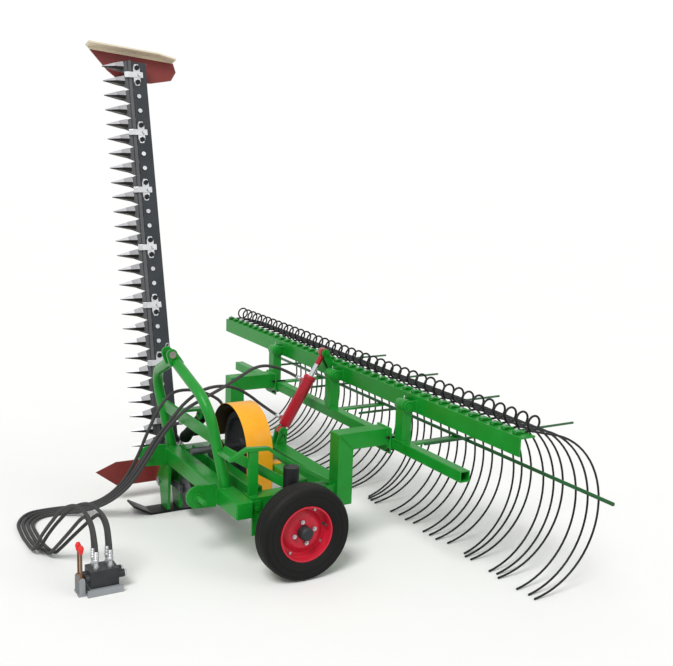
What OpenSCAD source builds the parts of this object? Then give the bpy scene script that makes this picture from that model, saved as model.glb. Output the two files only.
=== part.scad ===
// Sickle bar mower with a rear dump rake, carried on a tractor's three-point linkage.
// X points to the machine's left, Y to its rear and Z up, in millimetres. In the modules X = 0 is
// the middle of the linkage, Y = 0 the wheel's axle and Z = 0 the ground. The cutter bar stands
// raised at rest and the rake is down, as the machine is parked.

/* [Main frame] */
// Side of the square frame tubes
tube = 80; // [70:1:90]
// Wall of the frame tubes
tube_wall = 5; // [3:0.5:8]
// Height of the frame's top face
frame_top = 335; // [325:1:350]
// Left end of the front beam
front_beam_left = 560; // [540:5:600]
// Right end of the front beam, measured to the right
front_beam_right = 380; // [370:1:390]
// Middle of the front beam, ahead of the axle
front_beam_y = 215; // [210:1:220]
// Middle of the rear beam, behind the axle
rear_beam_y = 290; // [280:1:300]
// Middle of the left side rail
left_rail_x = 490; // [480:1:495]
// Middle of the right side rail, measured to the right
right_rail_x = 300; // [295:1:305]
// Side of the bridges that carry the drive
bridge = 60; // [50:1:62]
// Distance between the two goosenecks
gooseneck_span = 1210; // [1180:5:1240]
// Height of the goosenecks' top face
gooseneck_top = 580; // [570:1:600]

/* [Hitch] */
// Half the distance between the mast's legs
mast_half = 345; // [340:1:350]
// Diameter of the mast's tube
mast_tube = 50; // [44:1:54]
// Forward lean of the mast
mast_tilt = 12.5; // [11:0.5:14]
// Straight length of a mast leg
mast_leg = 290; // [280:1:300]
// Radius of the mast's two bends
mast_bend = 170; // [165:1:175]
// Angle of each bend
mast_bend_angle = 68; // [66:1:70]
// Height of the crossbar's middle above the frame
crossbar_height = 236; // [230:1:242]
// Height of the crossbar's section
crossbar_depth = 70; // [60:1:76]
// Diameter of the top link's pin
top_pin_d = 19; // [16:0.5:22]
// Clear width between the top link's ears
top_ear_gap = 52; // [46:1:58]
// Diameter of the lower links' pins
lower_pin_d = 22.4; // [20:0.1:24]
// Distance between the shoulders of the lower links' pins
lower_span = 683; // [680:1:690]
// Length of a lower link's pin outside its shoulder
lower_pin_length = 78; // [70:1:90]

/* [Ground wheel] */
// Diameter of the tyre
wheel_d = 427; // [420:1:434]
// Width of the tyre
tyre_width = 110; // [100:1:114]
// Middle of the tyre
wheel_x = 690; // [686:1:700]
// Diameter of the rim
rim_d = 252; // [244:1:256]
// Diameter of the wheel's post
post_d = 70; // [60:1:72]
// Height of the post's top
post_top = 470; // [450:5:500]
// Diameter of the spindle
spindle_d = 36; // [30:1:38]

/* [Rake] */
// Left end of the rake's beam
rake_left = 1380; // [1370:5:1400]
// Right end of the rake's beam, measured to the right
rake_right = 1526; // [1515:1:1540]
// Side of the rake's beam
rake_beam_size = 80; // [76:1:82]
// Thickness of the rake's beam
angle_wall = 8; // [6:0.5:10]
// Number of tines
tine_count = 40; // [36:1:40]
// Diameter of the tines' wire
wire_d = 8; // [7:0.5:9]
// Middle radius of the tines' coil
coil_r = 32; // [28:1:34]
// Radius of the tines' bow
tine_radius = 375; // [370:1:376]
// Distance between the uprights
upright_pitch = 670; // [660:1:680]
// Width of an upright
upright_w = 60; // [54:1:64]
// Diameter of the rake's hinge pins
rake_pin_d = 20; // [16:0.5:24]
// Diameter of the stripper rods
stripper_d = 12; // [10:0.5:14]

/* [Cutter] */
// Lean of the raised bar from upright
bar_lean = 13.1; // [12:0.1:14]
// Number of knife guards
guard_count = 27; // [25:1:27]
// Distance between guards
guard_pitch = 76.2; // [75.5:0.1:76.2]
// Thickness of the cutter bar
bar_thick = 12; // [10:0.5:12]
// Width of the cutter bar at its root
bar_root = 90; // [84:1:94]
// Width of the cutter bar at its tip
bar_tip = 75; // [70:1:80]
// Thickness of the knife's sections
section_thick = 3; // [2.5:0.1:3]
// Diameter of the cutter's hinge pins
hinge_pin_d = 24; // [20:0.5:28]
// Diameter of the guards' bolts
guard_bolt_d = 11; // [9:0.5:12]

/* [Drive] */
// Diameter of the input shaft
shaft_d = 35; // [32:0.5:36]
// Height of the input shaft
shaft_z = 405; // [402:0.5:406]
// Diameter of the drive pulley
drive_d = 340; // [330:1:346]
// Diameter of the driven pulley
driven_d = 130; // [124:1:134]
// Diameter of the crank's shaft
crank_shaft_d = 30; // [28:0.5:32]
// Throw of the crank
crank_throw = 38.1; // [36:0.1:38.1]
// Diameter of the crank's disc
crank_disc_d = 160; // [150:1:170]
// Number of belts
belt_count = 3; // [2:1:3]
// Inner radius of the belt guard
guard_r = 212; // [205:1:216]

/* [Hydraulics] */
// Diameter of the rake cylinder's barrel
rake_barrel_d = 60; // [54:1:62]
// Diameter of the lift cylinder's barrel
lift_barrel_d = 56; // [52:1:56]
// Diameter of the cylinders' rods
rod_d = 28; // [24:1:30]
// Diameter of the cylinders' pins
cylinder_pin_d = 20; // [18:0.5:21]
// Diameter of the hoses
hose_d = 16; // [14:0.5:18]
// Length of the valve's levers
lever_length = 150; // [140:1:170]

/* [Fits] */
// Radial clearance of pins and shafts in their bores
fit = 0.3; // [0.25:0.05:0.5]
// Clearance between parts that slide past each other
slip = 0.5; // [0.5:0.05:0.7]

/* [Hidden] */
$fn = 48;
green = [0.12, 0.54, 0.18];
orange = [0.96, 0.7, 0.16];
crimson = [0.69, 0.1, 0.17];
maroon = [0.48, 0.17, 0.16];
black = [0.06, 0.06, 0.07];
charcoal = [0.22, 0.24, 0.26];
iron = [0.42, 0.39, 0.38];
silver = [0.75, 0.76, 0.78];
steel = [0.55, 0.56, 0.58];
// Shift that brings the middle of the whole machine over the origin
centre_x = 62;
centre_y = 291;
// Frame lines
frame_bottom = frame_top - tube;
beam_front = -front_beam_y - tube / 2;
beam_back = -front_beam_y + tube / 2;
rear_front = rear_beam_y - tube / 2;
rear_back = rear_beam_y + tube / 2;
left_in = left_rail_x - tube / 2;
left_out = left_rail_x + tube / 2;
right_in = -right_rail_x + tube / 2;
right_out = -right_rail_x - tube / 2;
bridge_top = 355;
bridge_ys = [-110, 120];
neck_left_x = left_in + 20 + tube / 2;
neck_right_x = neck_left_x - gooseneck_span;
neck_end = 513;
neck_plate = 12;
// Rake lines
carrier_y = neck_end + neck_plate + 25;
rake_y = carrier_y;
rake_z = 705;
rake_beam_y = 632;
rake_beam_z = 712;
rake_beam_top = rake_beam_z + rake_beam_size / 2;
rake_beam_front = rake_beam_y - rake_beam_size / 2;
upright_xs = [620, 620 - upright_pitch, 620 - 2 * upright_pitch];
carrier_top = 535;
arm_top = carrier_top - 16;
ear_w = 12;
tine_pitch = (rake_left + rake_right - 74) / (tine_count - 1);
tine_first = -rake_right + 27;
tine_shift = 11;
coil_y = 695;
wire_z = rake_beam_top + wire_d / 2 + 0.2;
bow_y = coil_y + 17;
// Cutter lines
hinge_x = -430;
hinge_z = 130;
first_guard = 190;
bar_back = -125;
bar_start = 100;
bar_end = 2200;
bar_low = -31;
bar_high = bar_low + bar_thick;
knife_low = -30.5;
knife_top = knife_low + section_thick;
back_top = knife_top + 6;
clip_step = 4;
lug_s = 170;
lug_n = 40;
lift_y = -147;
lift_base = [-80, 560];
lift_end = [hinge_x - lug_s * sin(bar_lean) + lug_n * cos(bar_lean),
            hinge_z + lug_s * cos(bar_lean) + lug_n * sin(bar_lean)];
lift_angle = atan2(lift_end[1] - lift_base[1], lift_end[0] - lift_base[0]);
lift_length = norm(lift_end - lift_base);
// Rake cylinder lines
rake_cyl_x = -150;
rake_base = [310, 405];
rake_end = [rake_y, rake_z + 96];
rake_angle = atan2(rake_end[1] - rake_base[1], rake_end[0] - rake_base[0]);
rake_length = norm(rake_end - rake_base);
rod_pin_d = cylinder_pin_d - 4;
rod_hole_d = rod_pin_d + 11;
rake_ports = [60, 286];
lift_ports = [80, 275];
// Drive lines
crank_at = [-180, 150];
drive_at = [0, shaft_z];
ball_at = [hinge_x, hinge_z];
crank_angle = atan2(ball_at[1] - crank_at[1], ball_at[0] - crank_at[0]);
pin_at = crank_at + crank_throw * [cos(crank_angle), sin(crank_angle)];
belt_w = 13;
belt_steps = 28;
belt_in = 8;
belt_out = 1;
pulley_y0 = 2;
pulley_y1 = 68;
belt_ys = [for (i = [0:belt_count - 1]) 35 + (i - (belt_count - 1) / 2) * 19];
// Wheel lines
wheel_r = wheel_d / 2;
rim_r = rim_d / 2;
post_x = left_out + 40;
// Valve lines
valve_x = 430;
valve_y = -810;
valve_low = 30;
valve_high = 105;
spool_xs = [valve_x + 22, valve_x - 22];
lever_y = -902;
lever_z = 68;
fitting_ys = [-840, -780];
fitting_top = 135;

// Shared shapes

module place() {
    translate([-centre_x, -centre_y, 0])
        children();
}

module box_between(a, b) {
    translate(a)
        cube(b - a);
}

module hollow_box(a, b, t) {
    difference() {
        box_between(a, b);
        box_between(a + [t, t, t], b - [t, t, t]);
    }
}

module open_tube(a, b, t) {
    difference() {
        box_between(a, b);
        box_between(a + [-1, t, t], b - [-1, t, t]);
    }
}

module rod_x(x0, x1, y, z, d) {
    translate([x0, y, z])
        rotate([0, 90, 0])
            cylinder(d = d, h = x1 - x0);
}

module rod_y(y0, y1, x, z, d) {
    translate([x, y0, z])
        rotate([-90, 0, 0])
            cylinder(d = d, h = y1 - y0);
}

module ext_y(y0, y1) {
    translate([0, y1, 0])
        rotate([90, 0, 0])
            linear_extrude(y1 - y0)
                children();
}

module ext_x(x0, x1) {
    translate([x0, 0, 0])
        rotate([90, 0, 90])
            linear_extrude(x1 - x0)
                children();
}

module in_mast() {
    translate([0, -front_beam_y, frame_top])
        rotate([mast_tilt, 0, 0])
            children();
}

module in_bar() {
    translate([hinge_x, 0, hinge_z])
        rotate([0, -bar_lean, 0])
            children();
}

module on_axle() {
    translate([wheel_x, 0, wheel_r])
        rotate([0, 90, 0])
            children();
}

// A cylinder's own axis runs along its local X
module in_rake_cylinder() {
    translate([rake_cyl_x, rake_base[0], rake_base[1]])
        rotate([rake_angle, 0, 0])
            rotate([0, 0, 90])
                children();
}

module in_lift_cylinder() {
    translate([lift_base[0], lift_y, lift_base[1]])
        rotate([0, -lift_angle, 0])
            children();
}

// Barrel with an eye at its foot, a cavity for the piston and a gland at its mouth
module barrel(d, mouth, eye_w) {
    difference() {
        union() {
            rod_y(-eye_w / 2, eye_w / 2, 0, 0, 44);
            rod_x(14, 34, 0, 0, 32);
            rod_x(30, mouth - 20, 0, 0, d);
            rod_x(mouth - 20, mouth, 0, 0, d + 6);
        }
        rod_y(-eye_w, eye_w, 0, 0, cylinder_pin_d + 2 * fit);
        rod_x(40, mouth - 22, 0, 0, d - 10);
        rod_x(mouth - 30, mouth + 1, 0, 0, rod_d + 2 * fit);
    }
}

// Rod with its piston and an eye at the far end
module piston_rod(d, piston, length, eye_r, eye_w) {
    rod_x(piston, piston + 24, 0, 0, d - 10 - 2 * fit);
    rod_x(piston + 20, length - eye_r + 6, 0, 0, rod_d);
    rod_y(-eye_w / 2, eye_w / 2, length, 0, 2 * eye_r);
}

// Line of a belt round two pulleys, as points on the two arcs
function belt_line(a, b, ra, rb) =
    let (base = atan2(b[1] - a[1], b[0] - a[0]), turn = acos((ra - rb) / norm(b - a)))
    concat(
        [for (i = [0:belt_steps])
            let (t = base + turn + (360 - 2 * turn) * i / belt_steps)
            a + ra * [cos(t), sin(t)]],
        [for (i = [0:belt_steps / 2])
            let (t = base - turn + 2 * turn * i / (belt_steps / 2))
            b + rb * [cos(t), sin(t)]]);

// Tube of rings round a list of points, with its ends closed
function unit(v) = v / norm(v);
function heading(p, i) = unit(p[min(i + 1, len(p) - 1)] - p[max(i - 1, 0)]);
function ring(c, t, side, r, n) =
    let (a = unit(side - (side * t) * t), b = cross(t, a))
    [for (k = [0:n - 1]) c + r * (cos(360 * k / n) * a + sin(360 * k / n) * b)];
module tube_of(p, sides, r, n) {
    count = len(p);
    points = [for (i = [0:count - 1]) each ring(p[i], heading(p, i), sides[i], r, n)];
    walls = [for (i = [0:count - 2], k = [0:n - 1])
        each [[i * n + k, (i + 1) * n + k, (i + 1) * n + (k + 1) % n],
              [i * n + k, (i + 1) * n + (k + 1) % n, i * n + (k + 1) % n]]];
    last = (count - 1) * n;
    head = [for (k = [1:n - 2]) [0, k, k + 1]];
    foot = [for (k = [1:n - 2]) [last, last + k + 1, last + k]];
    polyhedron(points, concat(walls, head, foot), convexity = 6);
}

// Main frame

module front_beam() {
    color(green)
        place()
            hollow_box([-front_beam_right, beam_front, frame_bottom],
                       [front_beam_left, beam_back, frame_top], tube_wall);
}

module rear_beam() {
    color(green)
        place() {
            hollow_box([neck_right_x + tube / 2, rear_front, frame_bottom],
                       [neck_left_x - tube / 2, rear_back, frame_top], tube_wall);
            for (side = [-1, 1])
                translate([rake_cyl_x + side * 24, 0, 0])
                    difference() {
                        ext_x(-6, 6) {
                            translate(rake_base)
                                circle(24);
                            polygon([[rake_base[0] - 40, frame_top], [rake_base[0] + 20, frame_top],
                                     [rake_base[0] + 24, rake_base[1]], [rake_base[0] - 24, rake_base[1]]]);
                        }
                        rod_x(-10, 10, rake_base[0], rake_base[1], cylinder_pin_d + 2 * fit);
                    }
        }
}

module side_rails() {
    color(green)
        place() {
            hollow_box([left_in, beam_back, frame_bottom], [left_out, rear_front, frame_top], tube_wall);
            hollow_box([right_out, beam_back, frame_bottom], [right_in, rear_front, frame_top], tube_wall);
            box_between([left_out - 2, beam_back + 4, 165], [left_out + 10, beam_back + 46,
                frame_top - 12]);
            rod_x(left_out, left_out + 19, beam_back + 25, frame_top - 45, 20);
        }
}

module drive_bridges() {
    color(green)
        place()
            for (y = bridge_ys)
                hollow_box([right_in, y - bridge / 2, bridge_top - bridge],
                           [left_in, y + bridge / 2, bridge_top], tube_wall);
}

module goosenecks() {
    color(green)
        place()
            for (x = [neck_left_x, neck_right_x]) {
                difference() {
                    union() {
                        box_between([x - tube / 2, rear_front, frame_bottom - 15],
                                    [x + tube / 2, rear_back, gooseneck_top]);
                        box_between([x - tube / 2, rear_front, gooseneck_top - tube],
                                    [x + tube / 2, neck_end, gooseneck_top]);
                    }
                    box_between([x - tube / 2 + tube_wall, rear_front + tube_wall, frame_bottom - 20],
                                [x + tube / 2 - tube_wall, rear_back - tube_wall,
                                 gooseneck_top - tube_wall]);
                    box_between([x - tube / 2 + tube_wall, rear_front + tube_wall,
                                 gooseneck_top - tube + tube_wall],
                                [x + tube / 2 - tube_wall, neck_end - tube_wall,
                                 gooseneck_top - tube_wall]);
                }
                box_between([x - tube / 2 - 20, neck_end, gooseneck_top - tube - 40],
                            [x + tube / 2 + 20, neck_end + neck_plate, gooseneck_top + 5]);
            }
}

// Hitch

module mast_path(d) {
    r = mast_bend;
    for (side = [-1, 1]) {
        translate([side * mast_half, 0, -30])
            cylinder(d = d, h = mast_leg + 30);
        translate([side * (mast_half - r), 0, mast_leg])
            rotate([90, 0, 0])
                rotate([0, 0, side > 0 ? 0 : 180 - mast_bend_angle])
                    rotate_extrude(angle = mast_bend_angle)
                        translate([r, 0])
                            circle(d = d, $fn = 32);
    }
    bend_x = mast_half - r + r * cos(mast_bend_angle);
    bend_z = mast_leg + r * sin(mast_bend_angle);
    rise = 90 - mast_bend_angle;
    for (side = [-1, 1])
        difference() {
            translate([side * bend_x, 0, bend_z])
                rotate([0, side > 0 ? -90 + rise : 90 - rise, 0])
                    cylinder(d = d, h = bend_x / cos(rise) + 40);
            translate([side > 0 ? -200 : 0, -100, bend_z - 100])
                cube([200, 200, 300]);
        }
}

module mast_arch() {
    color(green)
        place()
            difference() {
                in_mast()
                    mast_path(mast_tube);
                box_between([-600, -600, frame_top - 100], [600, 600, frame_top]);
            }
}

module mast_crossbar() {
    reach = mast_half - mast_tube / 2 - 0.2;
    color(green)
        place() {
            in_mast()
                box_between([-reach, -6, crossbar_height - crossbar_depth / 2],
                            [reach, 6, crossbar_height + crossbar_depth / 2]);
            difference() {
                union() {
                    for (side = [-1, 1])
                        ext_y(lift_y + side * 24 - 6, lift_y + side * 24 + 6) {
                            translate(lift_base)
                                circle(24);
                            translate(lift_base + [-24, 0])
                                square([48, 34]);
                        }
                    box_between([lift_base[0] - 24, -262, lift_base[1] + 26],
                                [lift_base[0] + 24, lift_y + 30, lift_base[1] + 38]);
                }
                rod_y(lift_y - 60, lift_y + 60, lift_base[0], lift_base[1], cylinder_pin_d + 2 * fit);
                in_mast()
                    box_between([-reach, -60, 0], [reach, 6, 400]);
            }
        }
}

module top_link_clevis() {
    bend_x = mast_half - mast_bend + mast_bend * cos(mast_bend_angle);
    apex = mast_leg + mast_bend * sin(mast_bend_angle) + bend_x * tan(90 - mast_bend_angle);
    color(green)
        place()
            in_mast()
                difference() {
                    for (side = [-1, 1])
                        translate([side * (top_ear_gap / 2 + 6), 0, apex])
                            ext_x(-6, 6) {
                                translate([-14, 34])
                                    circle(26);
                                polygon([[-40, 34], [12, 34], [34, -20], [-34, -20]]);
                            }
                    mast_path(mast_tube + 0.2);
                    rod_x(-100, 100, -14, apex + 34, top_pin_d + 2 * fit);
                }
}

module hitch_pins() {
    bend_x = mast_half - mast_bend + mast_bend * cos(mast_bend_angle);
    apex = mast_leg + mast_bend * sin(mast_bend_angle) + bend_x * tan(90 - mast_bend_angle);
    half = top_ear_gap / 2 + 12;
    color(silver)
        place() {
            in_mast() {
                rod_x(-half - 22, half + 8, -14, apex + 34, top_pin_d);
                rod_x(half + 0.2, half + 8, -14, apex + 34, top_pin_d + 14);
            }
            for (side = [-1, 1])
                scale([side, 1, 1]) {
                    rod_x(lower_span / 2 - 40, lower_span / 2 + lower_pin_length, -345, 302, lower_pin_d);
                    rod_x(lower_span / 2 - 6.5, lower_span / 2, -345, 302, 44);
                }
        }
}

module lower_link_plates() {
    face = lower_span / 2 - 6.5;
    color(green)
        place()
            for (side = [-1, 1])
                scale([side, 1, 1])
                    difference() {
                        ext_x(face - 15, face) {
                            translate([-345, 302])
                                circle(52);
                            polygon([[-345, 250], [beam_front, 245], [beam_front, 354], [-345, 354]]);
                        }
                        rod_x(face - 30, face + 10, -345, 302, lower_pin_d + 2 * fit);
                    }
}

module guard_stay() {
    brace = [116, 281, -170];
    level = norm([brace[0], brace[1]]);
    color(green)
        place() {
            box_between([488, -174, frame_top], [508, -130, 545]);
            ext_x(488, 512)
                polygon([[-270, 516], [-264, 507], [-183, 544], [-84, 537], [0, 475],
                         [rear_front - 18, frame_top], [rear_front, frame_top], [rear_front, frame_top + 9],
                         [8, 489], [-78, 553], [-186, 560]]);
            difference() {
                union() {
                    translate([0, 0, 506])
                        linear_extrude(12)
                            polygon([[mast_half + 5, -268], [510, -268], [510, -250], [mast_half + 5,
                                -250]]);
                    translate([mast_half + 27, -226, 510])
                        rotate([0, 0, atan2(brace[1], brace[0])])
                            rotate([0, atan2(-brace[2], level), 0])
                                box_between([-19, -4, -22], [norm(brace) + 40, 4, 22]);
                }
                in_mast()
                    mast_path(mast_tube + 0.4);
                box_between([300, -200, 200], [700, 300, frame_top]);
            }
        }
}

// Ground wheel

module wheel_post() {
    color(black)
        place() {
            translate([post_x, 0, wheel_r - spindle_d])
                cylinder(d = post_d, h = post_top - wheel_r + spindle_d);
            rod_x(post_x, wheel_x + 30, 0, wheel_r, spindle_d);
        }
}

module wheel_post_clamp() {
    color(green)
        place()
            for (z = [frame_bottom, frame_top - 35])
                difference() {
                    box_between([left_out, -45, z], [post_x + post_d / 2 + 9, 45, z + 35]);
                    translate([post_x, 0, z - 1])
                        cylinder(d = post_d + 2 * fit, h = 40);
                }
}

module tyre() {
    half = tyre_width / 2;
    color(black)
        place()
            on_axle()
                rotate_extrude($fn = 96)
                    difference() {
                        polygon([[rim_r + 0.2, -40], [rim_r + 24, 3 - half], [wheel_r - 26, -half],
                                 [wheel_r - 11, 6 - half], [wheel_r - 3, 17 - half], [wheel_r, 30 - half],
                                 [wheel_r, half - 30], [wheel_r - 3, half - 17], [wheel_r - 11, half - 6],
                                 [wheel_r - 26, half], [rim_r + 24, half - 3], [rim_r + 0.2, 40]]);
                        for (z = [-24, -8, 8, 24])
                            translate([wheel_r - 6, z - 2])
                                square([10, 4]);
                    }
}

module wheel_rim() {
    color(crimson)
        place()
            on_axle()
                rotate_extrude($fn = 96) {
                    translate([rim_r - 8, -44])
                        square([8, 88]);
                    polygon([[30, 2], [70, 2], [96, -12], [rim_r - 7, -12], [rim_r - 7, -4], [98, -4],
                             [72, 10], [30, 10]]);
                }
}

module wheel_hub() {
    color(charcoal)
        place()
            on_axle()
                difference() {
                    union() {
                        translate([0, 0, -62])
                            cylinder(d = 59.6, h = 106);
                        translate([0, 0, -8])
                            cylinder(d = 116, h = 10);
                        translate([0, 0, 44])
                            cylinder(d1 = 59.6, d2 = 44, h = 8);
                    }
                    translate([0, 0, -63])
                        cylinder(d = spindle_d + 2 * fit, h = 97);
                }
}

module wheel_nuts() {
    color(silver)
        place()
            on_axle()
                for (i = [0:3])
                    rotate([0, 0, i * 90 + 12]) {
                        translate([50, 0, 10]) {
                            cylinder(d = 21, h = 12, $fn = 6);
                            cylinder(d = 11, h = 18);
                        }
                        rotate([0, 0, 45])
                            translate([108, 0, -4])
                                cylinder(d = 13, h = 6);
                    }
}

// Rake carrier

module rake_carrier() {
    color(green)
        place()
            open_tube([-1220, carrier_y - 25, carrier_top - 50], [1100, carrier_y + 25, carrier_top],
                tube_wall);
}

module rake_uprights() {
    color(green)
        place()
            for (x = upright_xs)
                difference() {
                    union() {
                        box_between([x - upright_w / 2, rake_y - 25, carrier_top],
                                    [x + upright_w / 2, rake_y + 25, rake_z - 12]);
                        rod_x(x - upright_w / 2, x + upright_w / 2, rake_y, rake_z, 60);
                    }
                    rod_x(x - 50, x + 50, rake_y, rake_z, rake_pin_d + 2 * fit);
                }
}

module rake_hinge_pins() {
    reach = upright_w / 2 + slip + ear_w;
    color(silver)
        place()
            for (x = upright_xs) {
                rod_x(x - reach - 8, x + reach + 8, rake_y, rake_z, rake_pin_d);
                rod_x(x + reach + 0.3, x + reach + 8, rake_y, rake_z, rake_pin_d + 12);
            }
}

module stripper_arms() {
    color(green)
        place()
            for (x = upright_xs)
                box_between([x - 20, carrier_y + 25, arm_top - 10], [x + 20, carrier_y + 322, arm_top]);
}

module stripper_rods() {
    d = stripper_d;
    cross_z = arm_top + 8.2;
    color([0.1, 0.32, 0.14])
        place() {
            rod_x(226 - rake_right, rake_left + 270, carrier_y + 300, cross_z, 16);
            for (k = [6, 14, 22, 30])
                rod_y(carrier_y + 50, carrier_y + 950, tine_first + tine_shift + (k + 0.5) * tine_pitch,
                      cross_z + 8.2 + d / 2, d);
        }
}

// Rake

module rake_beam() {
    inner = upright_w / 2 + slip;
    color(green)
        place() {
            ext_x(-rake_right, rake_left)
                translate([rake_beam_front, rake_beam_top - rake_beam_size]) {
                    square([angle_wall, rake_beam_size]);
                    translate([0, rake_beam_size - angle_wall])
                        square([rake_beam_size, angle_wall]);
                }
            for (x = upright_xs, side = [-1, 1])
                translate([x + side * (inner + ear_w / 2), 0, 0])
                    difference() {
                        ext_x(-ear_w / 2, ear_w / 2) {
                            translate([rake_y, rake_z])
                                circle(26);
                            translate([rake_y, rake_z - 26])
                                square([rake_beam_front - rake_y, 52]);
                        }
                        rod_x(-20, 20, rake_y, rake_z, rake_pin_d + 2 * fit);
                    }
            for (side = [-1, 1])
                translate([rake_cyl_x + side * 24, 0, 0])
                    difference() {
                        ext_x(-6, 6) {
                            translate(rake_end)
                                circle(22);
                            polygon([[rake_end[0] - 22, rake_end[1]], [rake_end[0] + 22, rake_end[1]],
                                     [rake_beam_front, rake_beam_top], [rake_beam_front,
                                         rake_beam_z - 26]]);
                        }
                        rod_x(-10, 10, rake_end[0], rake_end[1], rod_pin_d + 2 * fit);
                    }
        }
}

// One tine: tail along the beam, a coil and a bow down to the ground
turn_steps = 6;
bow_steps = 9;
function tine_points() = concat(
    [[0, 604, wire_z]],
    [for (i = [0:turn_steps])
        let (a = 360 * i / turn_steps)
        [tine_shift * i / turn_steps, coil_y + coil_r * sin(a), wire_z + coil_r * (1 - cos(a))]],
    [for (i = [0:bow_steps - 1])
        let (a = 170 * i / (bow_steps - 1))
        [tine_shift, bow_y + tine_radius * sin(a), wire_z - tine_radius * (1 - cos(a))]]);
tine_path = tine_points();
tine_sides = [for (p = tine_path) [1, 0, 0]];
coil_gap = tine_shift * (turn_steps - 1) / turn_steps - wire_d;
echo(coil_gap = coil_gap);

module rake_tines() {
    color(black)
        place()
            for (i = [0:tine_count - 1])
                translate([tine_first + i * tine_pitch, 0, 0])
                    tube_of(tine_path, tine_sides, wire_d / 2, 4);
}

module tine_clips() {
    color(charcoal)
        place()
            for (i = [0:tine_count - 1])
                translate([tine_first + i * tine_pitch, 0, 0]) {
                    box_between([-19, 606, rake_beam_top], [-wire_d / 2 - 0.2, 634,
                        rake_beam_top + wire_d + 0.6]);
                    box_between([-19, 606, rake_beam_top + wire_d + 0.6], [8, 634,
                        rake_beam_top + wire_d + 5]);
                    translate([-12, 620, rake_beam_top + wire_d + 5])
                        cylinder(d = 13, h = 6, $fn = 6);
                }
}

// Rake cylinder

module rake_barrel() {
    color(crimson)
        place()
            in_rake_cylinder() {
                barrel(rake_barrel_d, 322, 35);
                for (t = rake_ports)
                    rod_y(rake_barrel_d / 2 - 3, rake_barrel_d / 2 + 34, t, 0, 24);
            }
}

module rake_rod() {
    color(silver)
        place()
            in_rake_cylinder()
                difference() {
                    piston_rod(rake_barrel_d, 200, rake_length, 24, 35);
                    rod_y(-40, 40, rake_length, 0, rod_hole_d);
                }
}

module cylinder_pins() {
    color(steel)
        place() {
            rod_x(rake_cyl_x - 38, rake_cyl_x + 38, rake_base[0], rake_base[1], cylinder_pin_d);
            rod_y(lift_y - 38, lift_y + 38, lift_base[0], lift_base[1], cylinder_pin_d);
        }
}

module rake_lever_pin() {
    color(steel)
        place()
            rod_x(rake_cyl_x - 38, rake_cyl_x + 38, rake_end[0], rake_end[1], rod_pin_d);
}

// Drive

module pto_bearings() {
    color(charcoal)
        place()
            for (y = bridge_ys)
                difference() {
                    union() {
                        box_between([-70, y - 22, bridge_top], [70, y + 22, bridge_top + 18]);
                        rod_y(y - 20, y + 20, 0, shaft_z, 86);
                    }
                    rod_y(y - 40, y + 40, 0, shaft_z, shaft_d + 2 * fit);
                    box_between([-80, y - 40, bridge_top - 40], [80, y + 40, bridge_top]);
                }
}

module crank_bearings() {
    color(charcoal)
        place()
            for (y = bridge_ys)
                difference() {
                    ext_y(y - 18, y + 18) {
                        translate(crank_at)
                            circle(44);
                        polygon([[crank_at[0] - 44, crank_at[1]], [crank_at[0] + 44, crank_at[1]],
                                 [crank_at[0] + 64, bridge_top - bridge], [crank_at[0] - 64,
                                     bridge_top - bridge]]);
                    }
                    rod_y(y - 40, y + 40, crank_at[0], crank_at[1], crank_shaft_d + 2 * fit);
                }
}

module pto_shaft() {
    color(steel)
        place()
            difference() {
                union() {
                    rod_y(-245, 150, 0, shaft_z, shaft_d);
                    for (y = [bridge_ys[0] - 34, bridge_ys[1] + 22.5])
                        rod_y(y, y + 11, 0, shaft_z, shaft_d + 18);
                }
                for (i = [0:5])
                    translate([0, -246, shaft_z])
                        rotate([0, i * 60, 0])
                            box_between([-2, 0, shaft_d / 2 - 3], [2, 56, shaft_d]);
            }
}

module v_pulley(at, d, bore, hub) {
    r = d / 2;
    translate([at[0], pulley_y0, at[1]])
        rotate([-90, 0, 0])
            difference() {
                cylinder(d = d, h = pulley_y1 - pulley_y0, $fn = 96);
                for (y = belt_ys)
                    translate([0, 0, y - pulley_y0])
                        rotate_extrude($fn = 96)
                            polygon([[r - 10, -6.6], [r + 1, -8.5], [r + 1, 8.5], [r - 10, 6.6]]);
                translate([0, 0, -1])
                    cylinder(d = bore, h = pulley_y1 - pulley_y0 + 2);
                for (z = [-1, pulley_y1 - pulley_y0 - 20])
                    if (r > 90)
                        translate([0, 0, z])
                            rotate_extrude($fn = 96)
                                translate([hub, 0])
                                    square([r - hub - 30, 21]);
            }
}

module drive_pulley() {
    color(charcoal)
        place()
            v_pulley(drive_at, drive_d, shaft_d + 2 * fit, 40);
}

module driven_pulley() {
    color(charcoal)
        place()
            v_pulley(crank_at, driven_d, crank_shaft_d + 2 * fit, 30);
}

module drive_belts() {
    color(black)
        place()
            for (y = belt_ys)
                ext_y(y - belt_w / 2, y + belt_w / 2)
                    difference() {
                        polygon(belt_line(drive_at, crank_at, drive_d / 2 + belt_out,
                            driven_d / 2 + belt_out));
                        polygon(belt_line(drive_at, crank_at, drive_d / 2 - belt_in,
                            driven_d / 2 - belt_in));
                    }
}

module crank_shaft() {
    color(steel)
        place() {
            rod_y(-200, 145, crank_at[0], crank_at[1], crank_shaft_d);
            rod_y(-204, -184, crank_at[0], crank_at[1], crank_disc_d);
            rod_y(-222, -200, pin_at[0], pin_at[1], 20);
            rod_y(-224, -219, pin_at[0], pin_at[1], 30);
        }
}

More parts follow.
